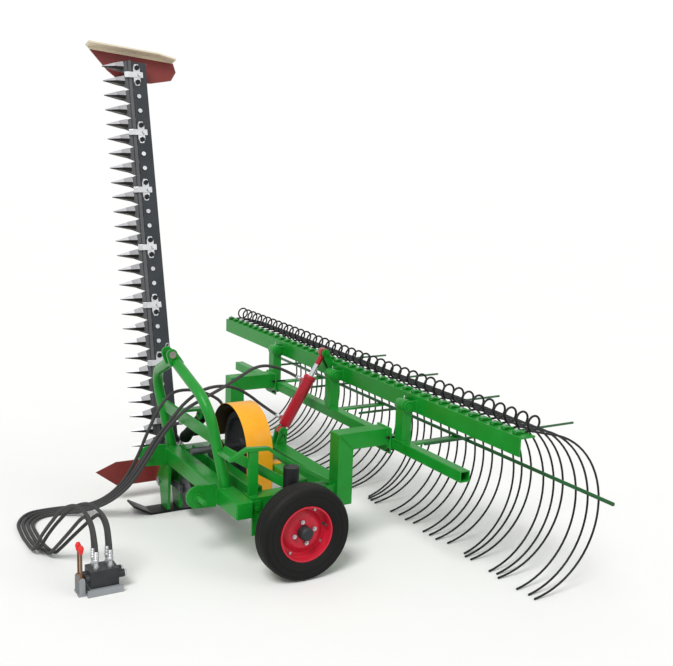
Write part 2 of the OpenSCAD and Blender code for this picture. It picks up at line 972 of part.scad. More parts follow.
module pitman() {
    reach = norm(ball_at - pin_at);
    color(iron)
        place()
            translate([pin_at[0], 0, pin_at[1]])
                rotate([0, -crank_angle, 0])
                    difference() {
                        union() {
                            rod_y(-218.5, -206.5, 0, 0, 46);
                            rod_y(-218.5, -206.5, reach, 0, 32);
                            box_between([0, -218.5, -12], [reach, -206.5, 12]);
                        }
                        rod_y(-230, -200, 0, 0, 20 + 2 * fit);
                    }
}

module belt_guard() {
    r = guard_r;
    color(orange)
        place() {
            ext_y(-50, 85)
                difference() {
                    union() {
                        translate(drive_at)
                            circle(r + 3, $fn = 96);
                        translate([drive_at[0], 215])
                            square([r + 3, shaft_z - 215]);
                    }
                    translate(drive_at)
                        circle(r, $fn = 96);
                    translate([drive_at[0] - 1, 150])
                        square([r + 1, shaft_z - 150]);
                    translate([drive_at[0] - r - 10, 0])
                        square([r + 10, shaft_z]);
                }
            difference() {
                union() {
                    ext_y(82, 85) {
                        translate(drive_at)
                            circle(r + 1, $fn = 96);
                        translate([-r - 1, 342])
                            square([2 * r + 2, shaft_z - 342]);
                    }
                    for (x = [-200, 150])
                        box_between([x, 84, bridge_top], [x + 50, 138, bridge_top + 6]);
                }
                rod_y(80, 90, 0, shaft_z, shaft_d + 20);
                box_between([-300, 80, 0], [300, 86, 342]);
            }
        }
}

// Cutter

module hinge_yoke() {
    color(green)
        place()
            for (y = [[-255, -241], [-190, -175]])
                difference() {
                    ext_y(y[0], y[1]) {
                        translate(ball_at)
                            circle(32);
                        polygon([[-452.2, 153], [-380, frame_bottom], [-280, frame_bottom], [-300, 10],
                                 [-395, 10], [-416, 101.2]]);
                    }
                    rod_y(y[0] - 5, y[1] + 5, hinge_x, hinge_z, hinge_pin_d + 2 * fit);
                }
}

module hinge_pins() {
    color(silver)
        place() {
            rod_y(-256, -229.5, hinge_x, hinge_z, hinge_pin_d);
            rod_y(-263, -255.3, hinge_x, hinge_z, hinge_pin_d + 12);
            rod_y(-201.5, -174, hinge_x, hinge_z, hinge_pin_d);
            rod_y(-174.7, -167, hinge_x, hinge_z, hinge_pin_d + 12);
        }
}

module inner_skid() {
    color(black)
        place()
            ext_x(-400, -290)
                polygon([[-60, 0], [-60, 10], [-340, 10], [-432, 62], [-437, 53], [-342, 0]]);
}

module cutter_bar() {
    color(charcoal)
        place()
            in_bar()
                difference() {
                    union() {
                        ext_x(bar_low, bar_high)
                            polygon([[bar_back - bar_root, bar_start], [bar_back - bar_root, bar_end],
                                     [bar_back - bar_root + bar_tip, bar_end], [bar_back, bar_start]]);
                        ext_y(bar_back - 7.5, bar_back) {
                            translate([lug_n, lug_s])
                                circle(20);
                            polygon([[bar_high, lug_s - 48], [bar_high, lug_s + 52], [lug_n + 4,
                                lug_s + 19],
                                     [lug_n + 4, lug_s - 19]]);
                        }
                    }
                    for (i = [0:guard_count - 1])
                        rod_x(-60, 0, -190, first_guard + i * guard_pitch, guard_bolt_d + 2 * fit);
                }
}

module knife_guard() {
    difference() {
        intersection() {
            linear_extrude(60, center = true)
                polygon([[-45, -165], [-48, -290], [-30, -375], [-15, -310], [-18, -262], [-26.5, -262],
                         [-26.5, -335], [-31, -335], [-31, -165]]);
            ext_x(-60, 0)
                polygon([[-165, -28], [-215, -28], [-230, -24.5], [-255, -22], [-375, -2], [-375, 2],
                         [-255, 22], [-230, 24.5], [-215, 28], [-165, 28]]);
        }
        rod_x(-60, 0, -190, 0, guard_bolt_d + 2 * fit);
    }
}

module knife_guards() {
    color(iron)
        place()
            in_bar()
                for (i = [0:guard_count - 1])
                    translate([0, 0, first_guard + i * guard_pitch])
                        knife_guard();
}

module knife_clips() {
    color(silver)
        place()
            in_bar()
                for (i = [1:clip_step:guard_count - 2])
                    translate([0, 0, first_guard + (i + 0.5) * guard_pitch])
                        linear_extrude(30, center = true)
                            polygon([[bar_high, -160], [bar_high, -215.4], [back_top + slip, -216.4],
                                     [back_top + slip, -237], [knife_top + slip, -240],
                                     [knife_top + slip, -254], [knife_top + 5, -258], [bar_high + 6, -236],
                                     [bar_high + 6, -160]]);
}

module guard_bolts() {
    color(silver)
        place()
            in_bar() {
                for (i = [0:guard_count - 1]) {
                    s = first_guard + i * guard_pitch;
                    rod_x(-60, bar_high + 4, -190, s, guard_bolt_d);
                    rod_x(bar_high, bar_high + 7, -190, s, guard_bolt_d + 11);
                    translate([-56, -190, s])
                        rotate([0, 90, 0])
                            cylinder(d = 20, h = 9.6, $fn = 6);
                }
                for (i = [1:clip_step:guard_count - 2])
                    translate([bar_high + 6, -178, first_guard + (i + 0.5) * guard_pitch])
                        rotate([0, 90, 0])
                            cylinder(d = 20, h = 8, $fn = 6);
            }
}

module inner_shoe() {
    color(maroon)
        place()
            in_bar()
                difference() {
                    union() {
                        ext_x(-120, -112)
                            polygon([[-550, 70], [-440, -15], [-80, -15], [-60, 10], [-60, 90], [-80, 110],
                                     [-440, 110]]);
                        for (y = [[-240.5, -229], [-202, -190.5]])
                            ext_y(y[0], y[1]) {
                                circle(28);
                                polygon([[10, 26], [-36, 70], [-36, bar_start], [-113, bar_start],
                                         [-113, -10], [-8, -26.8]]);
                            }
                        box_between([-113, -202, 96], [bar_low, bar_back, 159]);
                    }
                    for (y = [-245, -206])
                        rod_y(y, y + 20, 0, 0, hinge_pin_d + 2 * fit);
                }
}

module outer_shoe() {
    color(maroon)
        place()
            in_bar()
                translate([0, 0, bar_end]) {
                    ext_x(-90, -82)
                        polygon([[-435, 100], [-60, 62], [38, 38], [52, -20], [22, -66], [-95, -88],
                            [-260, -88],
                                 [-330, -30]]);
                    ext_x(-83, -20)
                        polygon([[-434, 99.8], [-60, 62], [38, 38], [36, 30], [-61, 54], [-431, 91.2]]);
                    box_between([-83, -160, -70], [bar_low, -128, 0]);
                }
}

module knife_back() {
    color(steel)
        place()
            in_bar() {
                box_between([knife_top, -235, 150], [back_top, -217, bar_end + 10]);
                ext_y(-228, -219) {
                    circle(16);
                    polygon([[13, 9], [back_top, 158], [knife_top, 158], [knife_top, 112], [-13, -9]]);
                }
            }
}

module knife_sections() {
    color(silver)
        place()
            in_bar()
                for (i = [0:guard_count - 1])
                    translate([0, 0, first_guard + i * guard_pitch])
                        ext_x(knife_low, knife_top)
                            polygon([[-217, -37.8], [-238, -37.8], [-318, -7], [-318, 7], [-238, 37.8],
                                     [-217, 37.8]]);
}

module lift_barrel() {
    color(black)
        place()
            in_lift_cylinder() {
                barrel(lift_barrel_d, 310, 35);
                rod_y(-lift_barrel_d / 2 - 30, 3 - lift_barrel_d / 2, lift_ports[0], 0, 24);
                rod_y(lift_barrel_d / 2 - 3, lift_barrel_d / 2 + 30, lift_ports[1], 0, 24);
            }
}

module lift_rod() {
    color(silver)
        place()
            in_lift_cylinder() {
                piston_rod(lift_barrel_d, 44, lift_length, 20, 28);
                rod_y(-24, -13, lift_length, 0, rod_pin_d);
            }
}

// Valve

module valve_body() {
    color(charcoal)
        place() {
            box_between([valve_x - 45, -870, valve_low], [valve_x + 45, -750, valve_high]);
            for (x = spool_xs) {
                rod_y(-750, -722, x, lever_z, 34);
                rod_y(-886, -870, x, lever_z, 34);
            }
        }
}

module valve_bracket() {
    color([0.72, 0.73, 0.74])
        place() {
            box_between([valve_x - 60, -885, 0], [valve_x + 60, -735, 8]);
            for (x = [valve_x - 60, valve_x + 52])
                box_between([x, -885, 7], [x + 8, -735, valve_low]);
            box_between([valve_x - 53, -870, valve_low - 8], [valve_x + 53, -750, valve_low]);
            for (x = spool_xs) {
                box_between([x - 14, -918, 0], [x + 14, -884, 8]);
                for (side = [-1, 1])
                    translate([x + side * 11.75, 0, 0])
                        ext_x(-2.25, 2.25) {
                            translate([lever_y, lever_z])
                                circle(12);
                            translate([lever_y - 12, 7])
                                square([24, lever_z - 7]);
                        }
                rod_x(x - 12, x + 12, lever_y, lever_z, 8);
            }
        }
}

module valve_fittings() {
    color(steel)
        place()
            for (x = spool_xs, y = fitting_ys) {
                translate([x, y, valve_high])
                    cylinder(d = 26, h = 12, $fn = 6);
                translate([x, y, valve_high + 12])
                    cylinder(d = 18, h = fitting_top - valve_high - 12);
            }
}

module valve_lever(x) {
    place() {
        color([0.42, 0.3, 0.2])
            difference() {
                union() {
                    rod_x(x - 9, x + 9, lever_y, lever_z, 24);
                    translate([x, lever_y, lever_z + 6])
                        cylinder(d = 10, h = lever_length - 36);
                }
                rod_x(x - 20, x + 20, lever_y, lever_z, 8 + 2 * fit);
            }
        color([0.9, 0.18, 0.16])
            translate([x, lever_y, lever_z + lever_length - 34]) {
                cylinder(d1 = 16, d2 = 25, h = 22);
                translate([0, 0, 22])
                    cylinder(d1 = 25, d2 = 14, h = 12);
            }
    }
}

module valve_lever_left() {
    valve_lever(spool_xs[0]);
}

module valve_lever_right() {
    valve_lever(spool_xs[1]);
}

// Hoses, each along its own list of points

function spline(p, steps) = concat(
    [for (i = [0:len(p) - 2], k = [0:steps - 1])
        let (a = p[max(i - 1, 0)], b = p[i], c = p[i + 1], d = p[min(i + 2, len(p) - 1)], t = k / steps)
        b + t * ((c - a) / 2 + t * (a - 2.5 * b + 2 * c - d / 2 + t * (1.5 * (b - c) + (d - a) / 2)))],
    [p[len(p) - 1]]);
function carried(p, side, i) =
    i == len(p) ? [] :
    let (t = heading(p, i), next = unit(side - (side * t) * t))
    concat([next], carried(p, next, i + 1));

// A hose starts and ends with a short straight, square to the faces that it meets
module hose(p) {
    last = len(p) - 1;
    line = concat([p[0]], spline([for (i = [1:last - 1]) p[i]], 2), [p[last]]);
    color(black)
        place()
            tube_of(line, carried(line, first_side(line), 0), hose_d / 2, 8);
}
function first_side(line) =
    let (t = heading(line, 0))
    abs(t[0]) > 0.7 ? [0, 0, 1] : [1, 0, 0];

// Runs of hose k: down from the mast, then round over the ground towards the valve
function down_run(k) = [[-30 - 36 * k, -395, 470], [-110 - 32 * k, -440, 335]];
function ground_run(k) = [
    [-200 - 28 * k, -495, 200], [-305 - 25 * k, -570 + 3 * k, 95], [-405 - 25 * k, -665 + 7 * k, 34],
    [-476 - 26 * k, -765 + 2 * k, 12.5], [-470 - 24 * k, -850 - 14 * k, 11.5],
    [-396 - 12 * k, -908 - 20 * k, 11.5], [-280, -920 - 22 * k, 11.5]];
rake_route_a = concat(
    [[-214.3, 458.2, 649.6], [-222, 458.2, 649.6], [-258, 456, 653], [-298, 426, 672], [-311, 366,
        700], [-286, 280, 724],
     [-225, 185, 732], [-150, 90, 722], [-50, -60, 694], [30, -200, 668], [52, -290, 634], [40, -350, 575]],
    down_run(0), ground_run(0),
    [[-110, -920, 11.5], [12, -905, 23], [61, -890, 55.5], [162, -845, 157], [264.6, -794, 259.4],
     [324, -783, 284], [383.4, -780, 259.4], [408, -780, 200], [408, -780, 143], [408, -780, fitting_top]]);
rake_route_b = concat(
    [[-214.3, 341.1, 456.3], [-222, 341.1, 456.3], [-258, 340, 457], [-308, 320, 473], [-333, 272,
        511], [-328, 210, 560],
     [-285, 115, 618], [-205, -10, 660], [-100, -150, 675], [-25, -270, 640], [0, -350, 570]],
    down_run(1), ground_run(1),
    [[-110, -942, 11.5], [12, -931, 23], [61, -920, 55.5], [162, -884, 157], [264.6, -850, 259.4],
     [324, -842, 284], [383.4, -840, 259.4], [408, -840, 200], [408, -840, 143], [408, -840, fitting_top]]);
lift_route_a = concat(
    [[-144.6, -205.3, 512.8], [-144.6, -213, 512.8], [-146, -265, 508], [-150, -325, 486], [-160, -375,
        430], [-188, -420, 345]],
    ground_run(2),
    [[-186, -964, 11.5], [-64, -962, 23], [-15, -955, 56], [68, -940, 139], [150, -916, 221],
     [233.5, -876, 304.5], [324, -826, 342], [414.5, -788, 304.5], [452, -780, 214], [452, -780, 143],
         [452, -780, fitting_top]]);
lift_route_b = concat(
    [[-302, -88.7, 397.8], [-302, -81, 397.8], [-303, -30, 400], [-307, 30, 425], [-312, 58, 485],
        [-312, 34, 552],
     [-300, -50, 605], [-270, -160, 640], [-220, -265, 640], [-190, -345, 570], [-190, -400, 460],
     [-225, -440, 335]],
    ground_run(3),
    [[-186, -986, 11.5], [-64, -985, 23], [-15, -980, 56], [68, -968, 139], [150, -948, 221],
     [233.5, -918, 304.5], [324, -880, 342], [414.5, -850, 304.5], [452, -840, 214], [452, -840, 143],
         [452, -840, fitting_top]]);

module rake_hose_a() {
    hose(rake_route_a);
}

module rake_hose_b() {
    hose(rake_route_b);
}

module lift_hose_a() {
    hose(lift_route_a);
}

module lift_hose_b() {
    hose(lift_route_b);
}

// Parts by name
front_beam();
rear_beam();
side_rails();
drive_bridges();
goosenecks();
mast_arch();
mast_crossbar();
top_link_clevis();
hitch_pins();
lower_link_plates();
guard_stay();
wheel_post();
wheel_post_clamp();
tyre();
wheel_rim();
wheel_hub();
wheel_nuts();
rake_carrier();
rake_uprights();
rake_hinge_pins();
stripper_arms();
stripper_rods();
rake_beam();
rake_tines();
tine_clips();
rake_barrel();
rake_rod();
cylinder_pins();
rake_lever_pin();
pto_bearings();
crank_bearings();
pto_shaft();
drive_pulley();
driven_pulley();
drive_belts();
crank_shaft();
pitman();
belt_guard();
hinge_yoke();
hinge_pins();
inner_skid();
cutter_bar();
knife_guards();
knife_clips();
guard_bolts();
inner_shoe();
outer_shoe();
knife_back();
knife_sections();
lift_barrel();
lift_rod();
valve_body();
valve_bracket();
valve_fittings();
valve_lever_left();
valve_lever_right();
rake_hose_a();
rake_hose_b();
lift_hose_a();
lift_hose_b();
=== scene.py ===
"""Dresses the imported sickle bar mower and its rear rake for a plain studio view.

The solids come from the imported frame. This script gives each of them a procedural finish, sweeps
the soft and wound pieces (hoses, spring tines, tyre) and adds the small fittings that a close look
expects: weld beads, hose nuts and ferrules, ground guard backs, clip plates, U-bolts and grease
nipples. Meshes are in metres in the row frame: +X to the machine's left, +Y to its rear, +Z up.
Sizes and places are written in millimetres, in the machine's own lines.
"""

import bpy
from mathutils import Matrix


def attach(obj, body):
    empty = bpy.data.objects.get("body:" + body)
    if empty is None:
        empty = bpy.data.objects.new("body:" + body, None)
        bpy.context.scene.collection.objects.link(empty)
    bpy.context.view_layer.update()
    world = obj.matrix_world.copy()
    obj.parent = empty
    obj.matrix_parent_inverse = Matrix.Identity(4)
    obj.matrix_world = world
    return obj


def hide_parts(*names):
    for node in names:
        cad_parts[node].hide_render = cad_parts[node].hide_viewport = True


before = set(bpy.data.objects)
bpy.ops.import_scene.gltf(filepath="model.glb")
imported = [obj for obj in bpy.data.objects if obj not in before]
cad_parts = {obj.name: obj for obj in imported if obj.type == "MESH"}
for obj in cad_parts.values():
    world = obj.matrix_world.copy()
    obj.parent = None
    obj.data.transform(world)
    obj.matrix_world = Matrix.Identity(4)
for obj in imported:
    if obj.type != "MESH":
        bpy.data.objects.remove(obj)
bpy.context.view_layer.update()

import logging
import math
from dataclasses import dataclass, replace
from enum import Enum
from typing import Optional, Sequence

import bpy
import numpy as np
from mathutils import Matrix, Vector

LOG = logging.getLogger("mower")
MM = 0.001
# Shift from the machine's own lines (linkage middle, axle, ground) to the row frame
SHIFT = np.array([62.0, 291.0, 0.0])
# The raised cutter bar: its lean off the upright and its hinge
LEAN = math.radians(13.1)
HINGE = np.array([-430.0, 0.0, 130.0])
# The row of guards up the bar
FIRST_GUARD = 190.0
GUARD_PITCH = 76.2
# The goosenecks' and the rake uprights' places across the machine
NECKS = (510.0, -700.0)
UPRIGHTS = (620.0, -50.0, -720.0)


def row(points: Sequence) -> np.ndarray:
    """Points, one or many, from machine lines in millimetres to the row frame in metres."""
    return (np.asarray(points, float) - SHIFT) * MM


def bar_point(n: Sequence, y: Sequence, s: Sequence) -> np.ndarray:
    """Points of the raised cutter bar: s up the bar, n off its face, y along the machine.

    Args:
        n: distances off the bar's face in millimetres, one or an array.
        y: machine lines along the travel, in millimetres.
        s: distances up the bar from its hinge, in millimetres.

    Returns:
        The points in machine lines, in millimetres.
    """
    along = np.array([-math.sin(LEAN), 0.0, math.cos(LEAN)])
    off = np.array([math.cos(LEAN), 0.0, math.sin(LEAN)])
    rear = np.array([0.0, 1.0, 0.0])
    outer = np.multiply.outer
    return HINGE + outer(s, along) + outer(n, off) + outer(y, rear)


class Body(Enum):
    """The moving bodies that added pieces ride on."""

    FRAME = "frame"
    WHEEL = "wheel"
    RAKE = "rake"
    CUTTER = "cutter"


# Shapes

# Shortest length that is divided by, and the least radius of a turned ring, in metres
TINY = 1e-12
LEAST_RADIUS = 1e-6


def unit(v: np.ndarray) -> np.ndarray:
    """Rows of v scaled to length one."""
    return v / np.maximum(np.linalg.norm(v, axis=-1, keepdims=True), TINY)


# Directions to choose a swept ring's first side from
GUIDES = unit(
    np.array([[0.31, 0.52, 0.79], [0.9, -0.3, 0.31], [-0.4, 0.85, 0.34], [1, 0, 0], [0, 0, 1]])
)


def run_lengths(line: np.ndarray) -> np.ndarray:
    """The distance from a line's start to each of its points, summed along the line."""
    return np.concatenate([[0.0], np.cumsum(np.linalg.norm(np.diff(line, axis=0), axis=1))])


def points_at(line: np.ndarray, at: np.ndarray) -> np.ndarray:
    """Points of a line at given distances from its start, straight between its own points."""
    run = run_lengths(line)
    return np.stack([np.interp(at, run, column) for column in line.T], 1)


def spline(points: np.ndarray, steps: int) -> np.ndarray:
    """A Catmull-Rom curve through the points, the same one that the hose solids follow.

    Each span, cut into so many steps, is a cubic of t whose slope at a point is half the way
    between its neighbours.
    """
    p = np.asarray(points, float)
    a = np.vstack([p[:1], p[:-2]])
    b, c = p[:-1], p[1:]
    d = np.vstack([p[2:], p[-1:]])
    t = (np.arange(steps) / steps)[None, :, None]
    a, b, c, d = (x[:, None, :] for x in (a, b, c, d))
    square = a - 2.5 * b + 2 * c - d / 2
    cube = 1.5 * (b - c) + (d - a) / 2
    curve = b + t * ((c - a) / 2 + t * (square + t * cube))
    return np.vstack([curve.reshape(-1, 3), p[-1:]])


def grid_faces(rows: int, cols: int) -> np.ndarray:
    """Quads, four indices each, between rows of closed rings that have cols points each."""
    i = np.arange(rows - 1)[:, None] * cols
    j = np.arange(cols)[None, :]
    k = (j + 1) % cols
    return np.stack([i + j, i + k, i + k + cols, i + j + cols], -1).reshape(-1, 4)


def capped_faces(rows: int, cols: int) -> list:
    """Faces of a tube of such rings: its quads, then a cap on the first ring and the last."""
    ring = np.arange(cols)
    caps = [ring[::-1].tolist(), (ring + (rows - 1) * cols).tolist()]
    return grid_faces(rows, cols).tolist() + caps


@dataclass
class Surface:
    """Points and faces of one shape, in the row frame."""

    points: np.ndarray
    faces: list


def sweep(path: np.ndarray, radius: float | np.ndarray, sides: int) -> Surface:
    """A round tube: a circle carried square to the path, with its ends capped.

    The ring at each point is the circle radius * (cos a * side + sin a * up), where side is a
    fixed direction made square to the path there and up completes the frame.

    Args:
        path: the centre line, one point per row.
        radius: one radius, or one for each point.
        sides: points of a ring.

    Returns:
        The tube's surface.
    """
    p = np.asarray(path, float)
    tangent = unit(np.gradient(p, axis=0))
    least = np.linalg.norm(np.cross(tangent[:, None, :], GUIDES[None]), axis=-1).min(0)
    guide = GUIDES[int(least.argmax())]
    side = unit(guide - (tangent @ guide)[:, None] * tangent)
    up = np.cross(tangent, side)
    angle = (2 * np.pi * np.arange(sides) / sides)[None, :, None]
    r = np.broadcast_to(np.asarray(radius, float), (len(p),))[:, None, None]
    ring = np.cos(angle) * side[:, None] + np.sin(angle) * up[:, None]
    return Surface((p[:, None] + r * ring).reshape(-1, 3), capped_faces(len(p), sides))


def lathe(profile_mm: Sequence, centre: np.ndarray, axis: Sequence, sides: int) -> Surface:
    """A profile of (distance along the axis, radius) turned round the axis.

    Args:
        profile_mm: rows of (along, radius) in millimetres, from one end to the other.
        centre: the axis's zero point.
        axis: the axis's direction.
        sides: points round the axis.

    Returns:
        The turned surface, closed where the profile ends on the axis or at a ring.
    """
    profile = np.array(profile_mm) * MM
    axis = unit(np.asarray(axis, float))
    line = centre + np.outer(profile[:, 0], axis)
    guide = np.array([0.0, 0.0, 1.0]) if abs(axis[2]) < 0.9 else np.array([1.0, 0.0, 0.0])
    side = unit(guide - (guide @ axis) * axis)
    up = np.cross(axis, side)
    angle = 2 * np.pi * np.arange(sides) / sides
    ring = np.cos(angle)[:, None] * side + np.sin(angle)[:, None] * up
    reach = np.maximum(profile[:, 1], LEAST_RADIUS)[:, None, None]
    points = (line[:, None] + reach * ring[None]).reshape(-1, 3)
    return Surface(points, capped_faces(len(line), sides))


# Finishes

Tree, Socket = bpy.types.NodeTree, bpy.types.NodeSocket
# What every finish shares: its two noises, and the part of the clouds over which the colour drifts
CLOUD = {"Detail": 5.0, "Roughness": 0.6}
GRAIN = {"Detail": 4.0, "Roughness": 0.55}
DRIFT_SPAN = {"From Min": 0.35, "From Max": 0.65}
# Rubbed edges: their width, how the rounded normal meets the flat one there, and the bare patches
EDGE_MM = 2.5
EDGE_SPAN = {"From Min": 0.98, "From Max": 0.8}
PATCH_SPAN = {"From Min": 0.48, "From Max": 0.62}
# How far up a face looks where dust lies on it
DUST_SPAN = {"From Min": 0.3, "From Max": 1.0}
# How the roughness swings with the clouds, and what it stays within
GLOSS_SPAN = {"From Min": 0.3, "From Max": 0.7}
GLOSS_SWING = np.array([-0.08, 0.1])
GLOSS_LIMITS = (0.04, 1.0)
BUMP_STRENGTH = 0.6
COAT_ROUGHNESS = 0.12


def linear(code: str) -> tuple:
    """An sRGB colour's six hex digits as linear red, green, blue and alpha.

    Dark values are divided by 12.92, and the others follow the sRGB curve's power of 2.4.
    """
    s = np.array([int(code[i : i + 2], 16) for i in (0, 2, 4)]) / 255
    v = np.where(s <= 0.04045, s / 12.92, ((s + 0.055) / 1.055) ** 2.4)
    return (*v.tolist(), 1.0)


def add(tree: Tree, kind: str, inputs: Optional[dict] = None, **settings: object) -> bpy.types.Node:
    """Adds a node, sets it and links its inputs.

    Args:
        tree: the material's node tree.
        kind: the node's type without the ShaderNode prefix.
        inputs: socket name or index to a value or to an output socket.
        settings: the node's own properties.

    Returns:
        The new node.
    """
    node = tree.nodes.new("ShaderNode" + kind)
    for key, value in settings.items():
        setattr(node, key, value)
    for key, value in (inputs or {}).items():
        if isinstance(value, Socket):
            tree.links.new(value, node.inputs[key])
        else:
            node.inputs[key].default_value = value
    return node


def maths(tree: Tree, operation: str, *values: object) -> Socket:
    """The result of a math node on numbers and output sockets."""
    return add(tree, "Math", dict(enumerate(values)), operation=operation).outputs[0]


@dataclass(frozen=True)
class Finish:
    """One real surface: its colour, how it was made and how it has aged.

    cloud_mm is the size of the patches where the colour drifts, grain_mm the size of the surface's
    own texture, and dust and wear say how much settled dust and rubbed edges show. A band is the
    part of the piece past a plane that has another colour: its direction and where it starts.
    Painted shade can darken the inside of a drum along the machine: its middle, its radius and the
    plane that it ends at.
    """

    name: str
    colour: str
    drift: str
    roughness: float
    metallic: float = 0.0
    coat: float = 0.0
    specular: float = 0.4
    cloud_mm: float = 140.0
    grain_mm: float = 6.0
    bump_mm: float = 0.1
    dust: float = 0.12
    dust_colour: str = "9a9386"
    wear: float = 0.0
    wear_colour: str = "6d6a66"
    band: Optional[tuple] = None
    band_colour: str = "000000"
    band_metallic: float = 0.0
    # Painted shade inside a drum: where it lies, and its dark colour
    shaded_hollow: Optional[tuple] = None
    shaded_hollow_colour: str = "33260f"

    def layers(self, tree: Tree, where: Socket, cloud: Socket, grain: Socket) -> list:
        """What lies over the first colour, from below: pairs of a share and a hex colour.

        The drift follows the clouds. The band is past its plane, and the painted shade inside the
        drum within its radius and ahead of its end. Wear is on edges, by their rounded normal, in
        patches of the grain, and dust on what faces up, times the clouds.
        """
        spread = add(tree, "MapRange", {"Value": cloud, **DRIFT_SPAN}).outputs[0]
        found = [(spread, self.drift)]
        if self.band is not None:
            way, limit = self.band
            reach = add(tree, "VectorMath", {0: where, 1: way}, operation="DOT_PRODUCT")
            beyond = maths(tree, "GREATER_THAN", reach.outputs["Value"], limit)
            found.append((beyond, self.band_colour))
        # Painted shade: darkens the drum's inside, within its radius and ahead of its end
        if self.shaded_hollow is not None:
            middle, radius, end = self.shaded_hollow
            across = (1.0, 0.0, 1.0)
            arm = add(tree, "VectorMath", {0: where, 1: middle}, operation="SUBTRACT").outputs[0]
            arm = add(tree, "VectorMath", {0: arm, 1: across}, operation="MULTIPLY").outputs[0]
            reach = add(tree, "VectorMath", {0: arm}, operation="LENGTH").outputs["Value"]
            rear = add(tree, "SeparateXYZ", {"Vector": where}).outputs["Y"]
            inside = maths(tree, "LESS_THAN", reach, radius)
            before = maths(tree, "LESS_THAN", rear, end)
            found.append((maths(tree, "MULTIPLY", inside, before), self.shaded_hollow_colour))
        flat = add(tree, "NewGeometry").outputs["Normal"]
        if self.wear:
            rounded = add(tree, "Bevel", {"Radius": EDGE_MM * MM}, samples=4).outputs["Normal"]
            meet = add(tree, "VectorMath", {0: rounded, 1: flat}, operation="DOT_PRODUCT")
            turned = {"Value": meet.outputs["Value"], **EDGE_SPAN}
            edge = add(tree, "MapRange", turned).outputs[0]
            patch = add(tree, "MapRange", {"Value": grain, **PATCH_SPAN}).outputs[0]
            rub = maths(tree, "MULTIPLY", maths(tree, "MULTIPLY", edge, patch), self.wear)
            found.append((rub, self.wear_colour))
        upward = add(tree, "SeparateXYZ", {"Vector": flat}).outputs["Z"]
        lie = add(tree, "MapRange", {"Value": upward, **DUST_SPAN, "To Max": self.dust}).outputs[0]
        return [*found, (maths(tree, "MULTIPLY", lie, cloud), self.dust_colour)]

    def material(self) -> bpy.types.Material:
        """The finish's material, made once: its layers are mixed over its colour in turn."""
        known = bpy.data.materials.get(self.name)
        if known:
            return known
        made = bpy.data.materials.new(self.name)
        made.use_nodes = True
        tree = made.node_tree
        shader = tree.nodes["Principled BSDF"]
        where = add(tree, "TexCoord").outputs["Object"]
        cloud, grain = (
            add(tree, "TexNoise", {"Vector": where, "Scale": 1 / (mm * MM), **kind}).outputs["Fac"]
            for mm, kind in ((self.cloud_mm, CLOUD), (self.grain_mm, GRAIN))
        )
        layers = self.layers(tree, where, cloud, grain)
        colour = linear(self.colour)
        for share, code in layers:
            over = {"Factor": share, "A": colour, "B": linear(code)}
            colour = add(tree, "Mix", over, data_type="RGBA").outputs[2]
        tree.links.new(colour, shader.inputs["Base Color"])
        if self.band is None:
            shader.inputs["Metallic"].default_value = self.metallic
        else:
            # The band is the layer next to the drift
            change = self.band_metallic - self.metallic
            metal = maths(tree, "MULTIPLY_ADD", layers[1][0], change, self.metallic)
            tree.links.new(metal, shader.inputs["Metallic"])
        low, high = np.clip(self.roughness + GLOSS_SWING, *GLOSS_LIMITS).tolist()
        rough = add(tree, "MapRange", {"Value": cloud, **GLOSS_SPAN, "To Min": low, "To Max": high})
        tree.links.new(rough.outputs["Result"], shader.inputs["Roughness"])
        relief = {"Height": grain, "Distance": self.bump_mm * MM, "Strength": BUMP_STRENGTH}
        bump = add(tree, "Bump", relief)
        tree.links.new(bump.outputs["Normal"], shader.inputs["Normal"])
        shader.inputs["Specular IOR Level"].default_value = self.specular
        shader.inputs["Coat Weight"].default_value = self.coat
        shader.inputs["Coat Roughness"].default_value = COAT_ROUGHNESS
        return made


def past(point_mm: Sequence, way: Sequence) -> tuple:
    """The band that goes on past a point: its direction, and the point's distance along that."""
    return tuple(float(x) for x in way), float(row(point_mm) @ np.asarray(way, float))


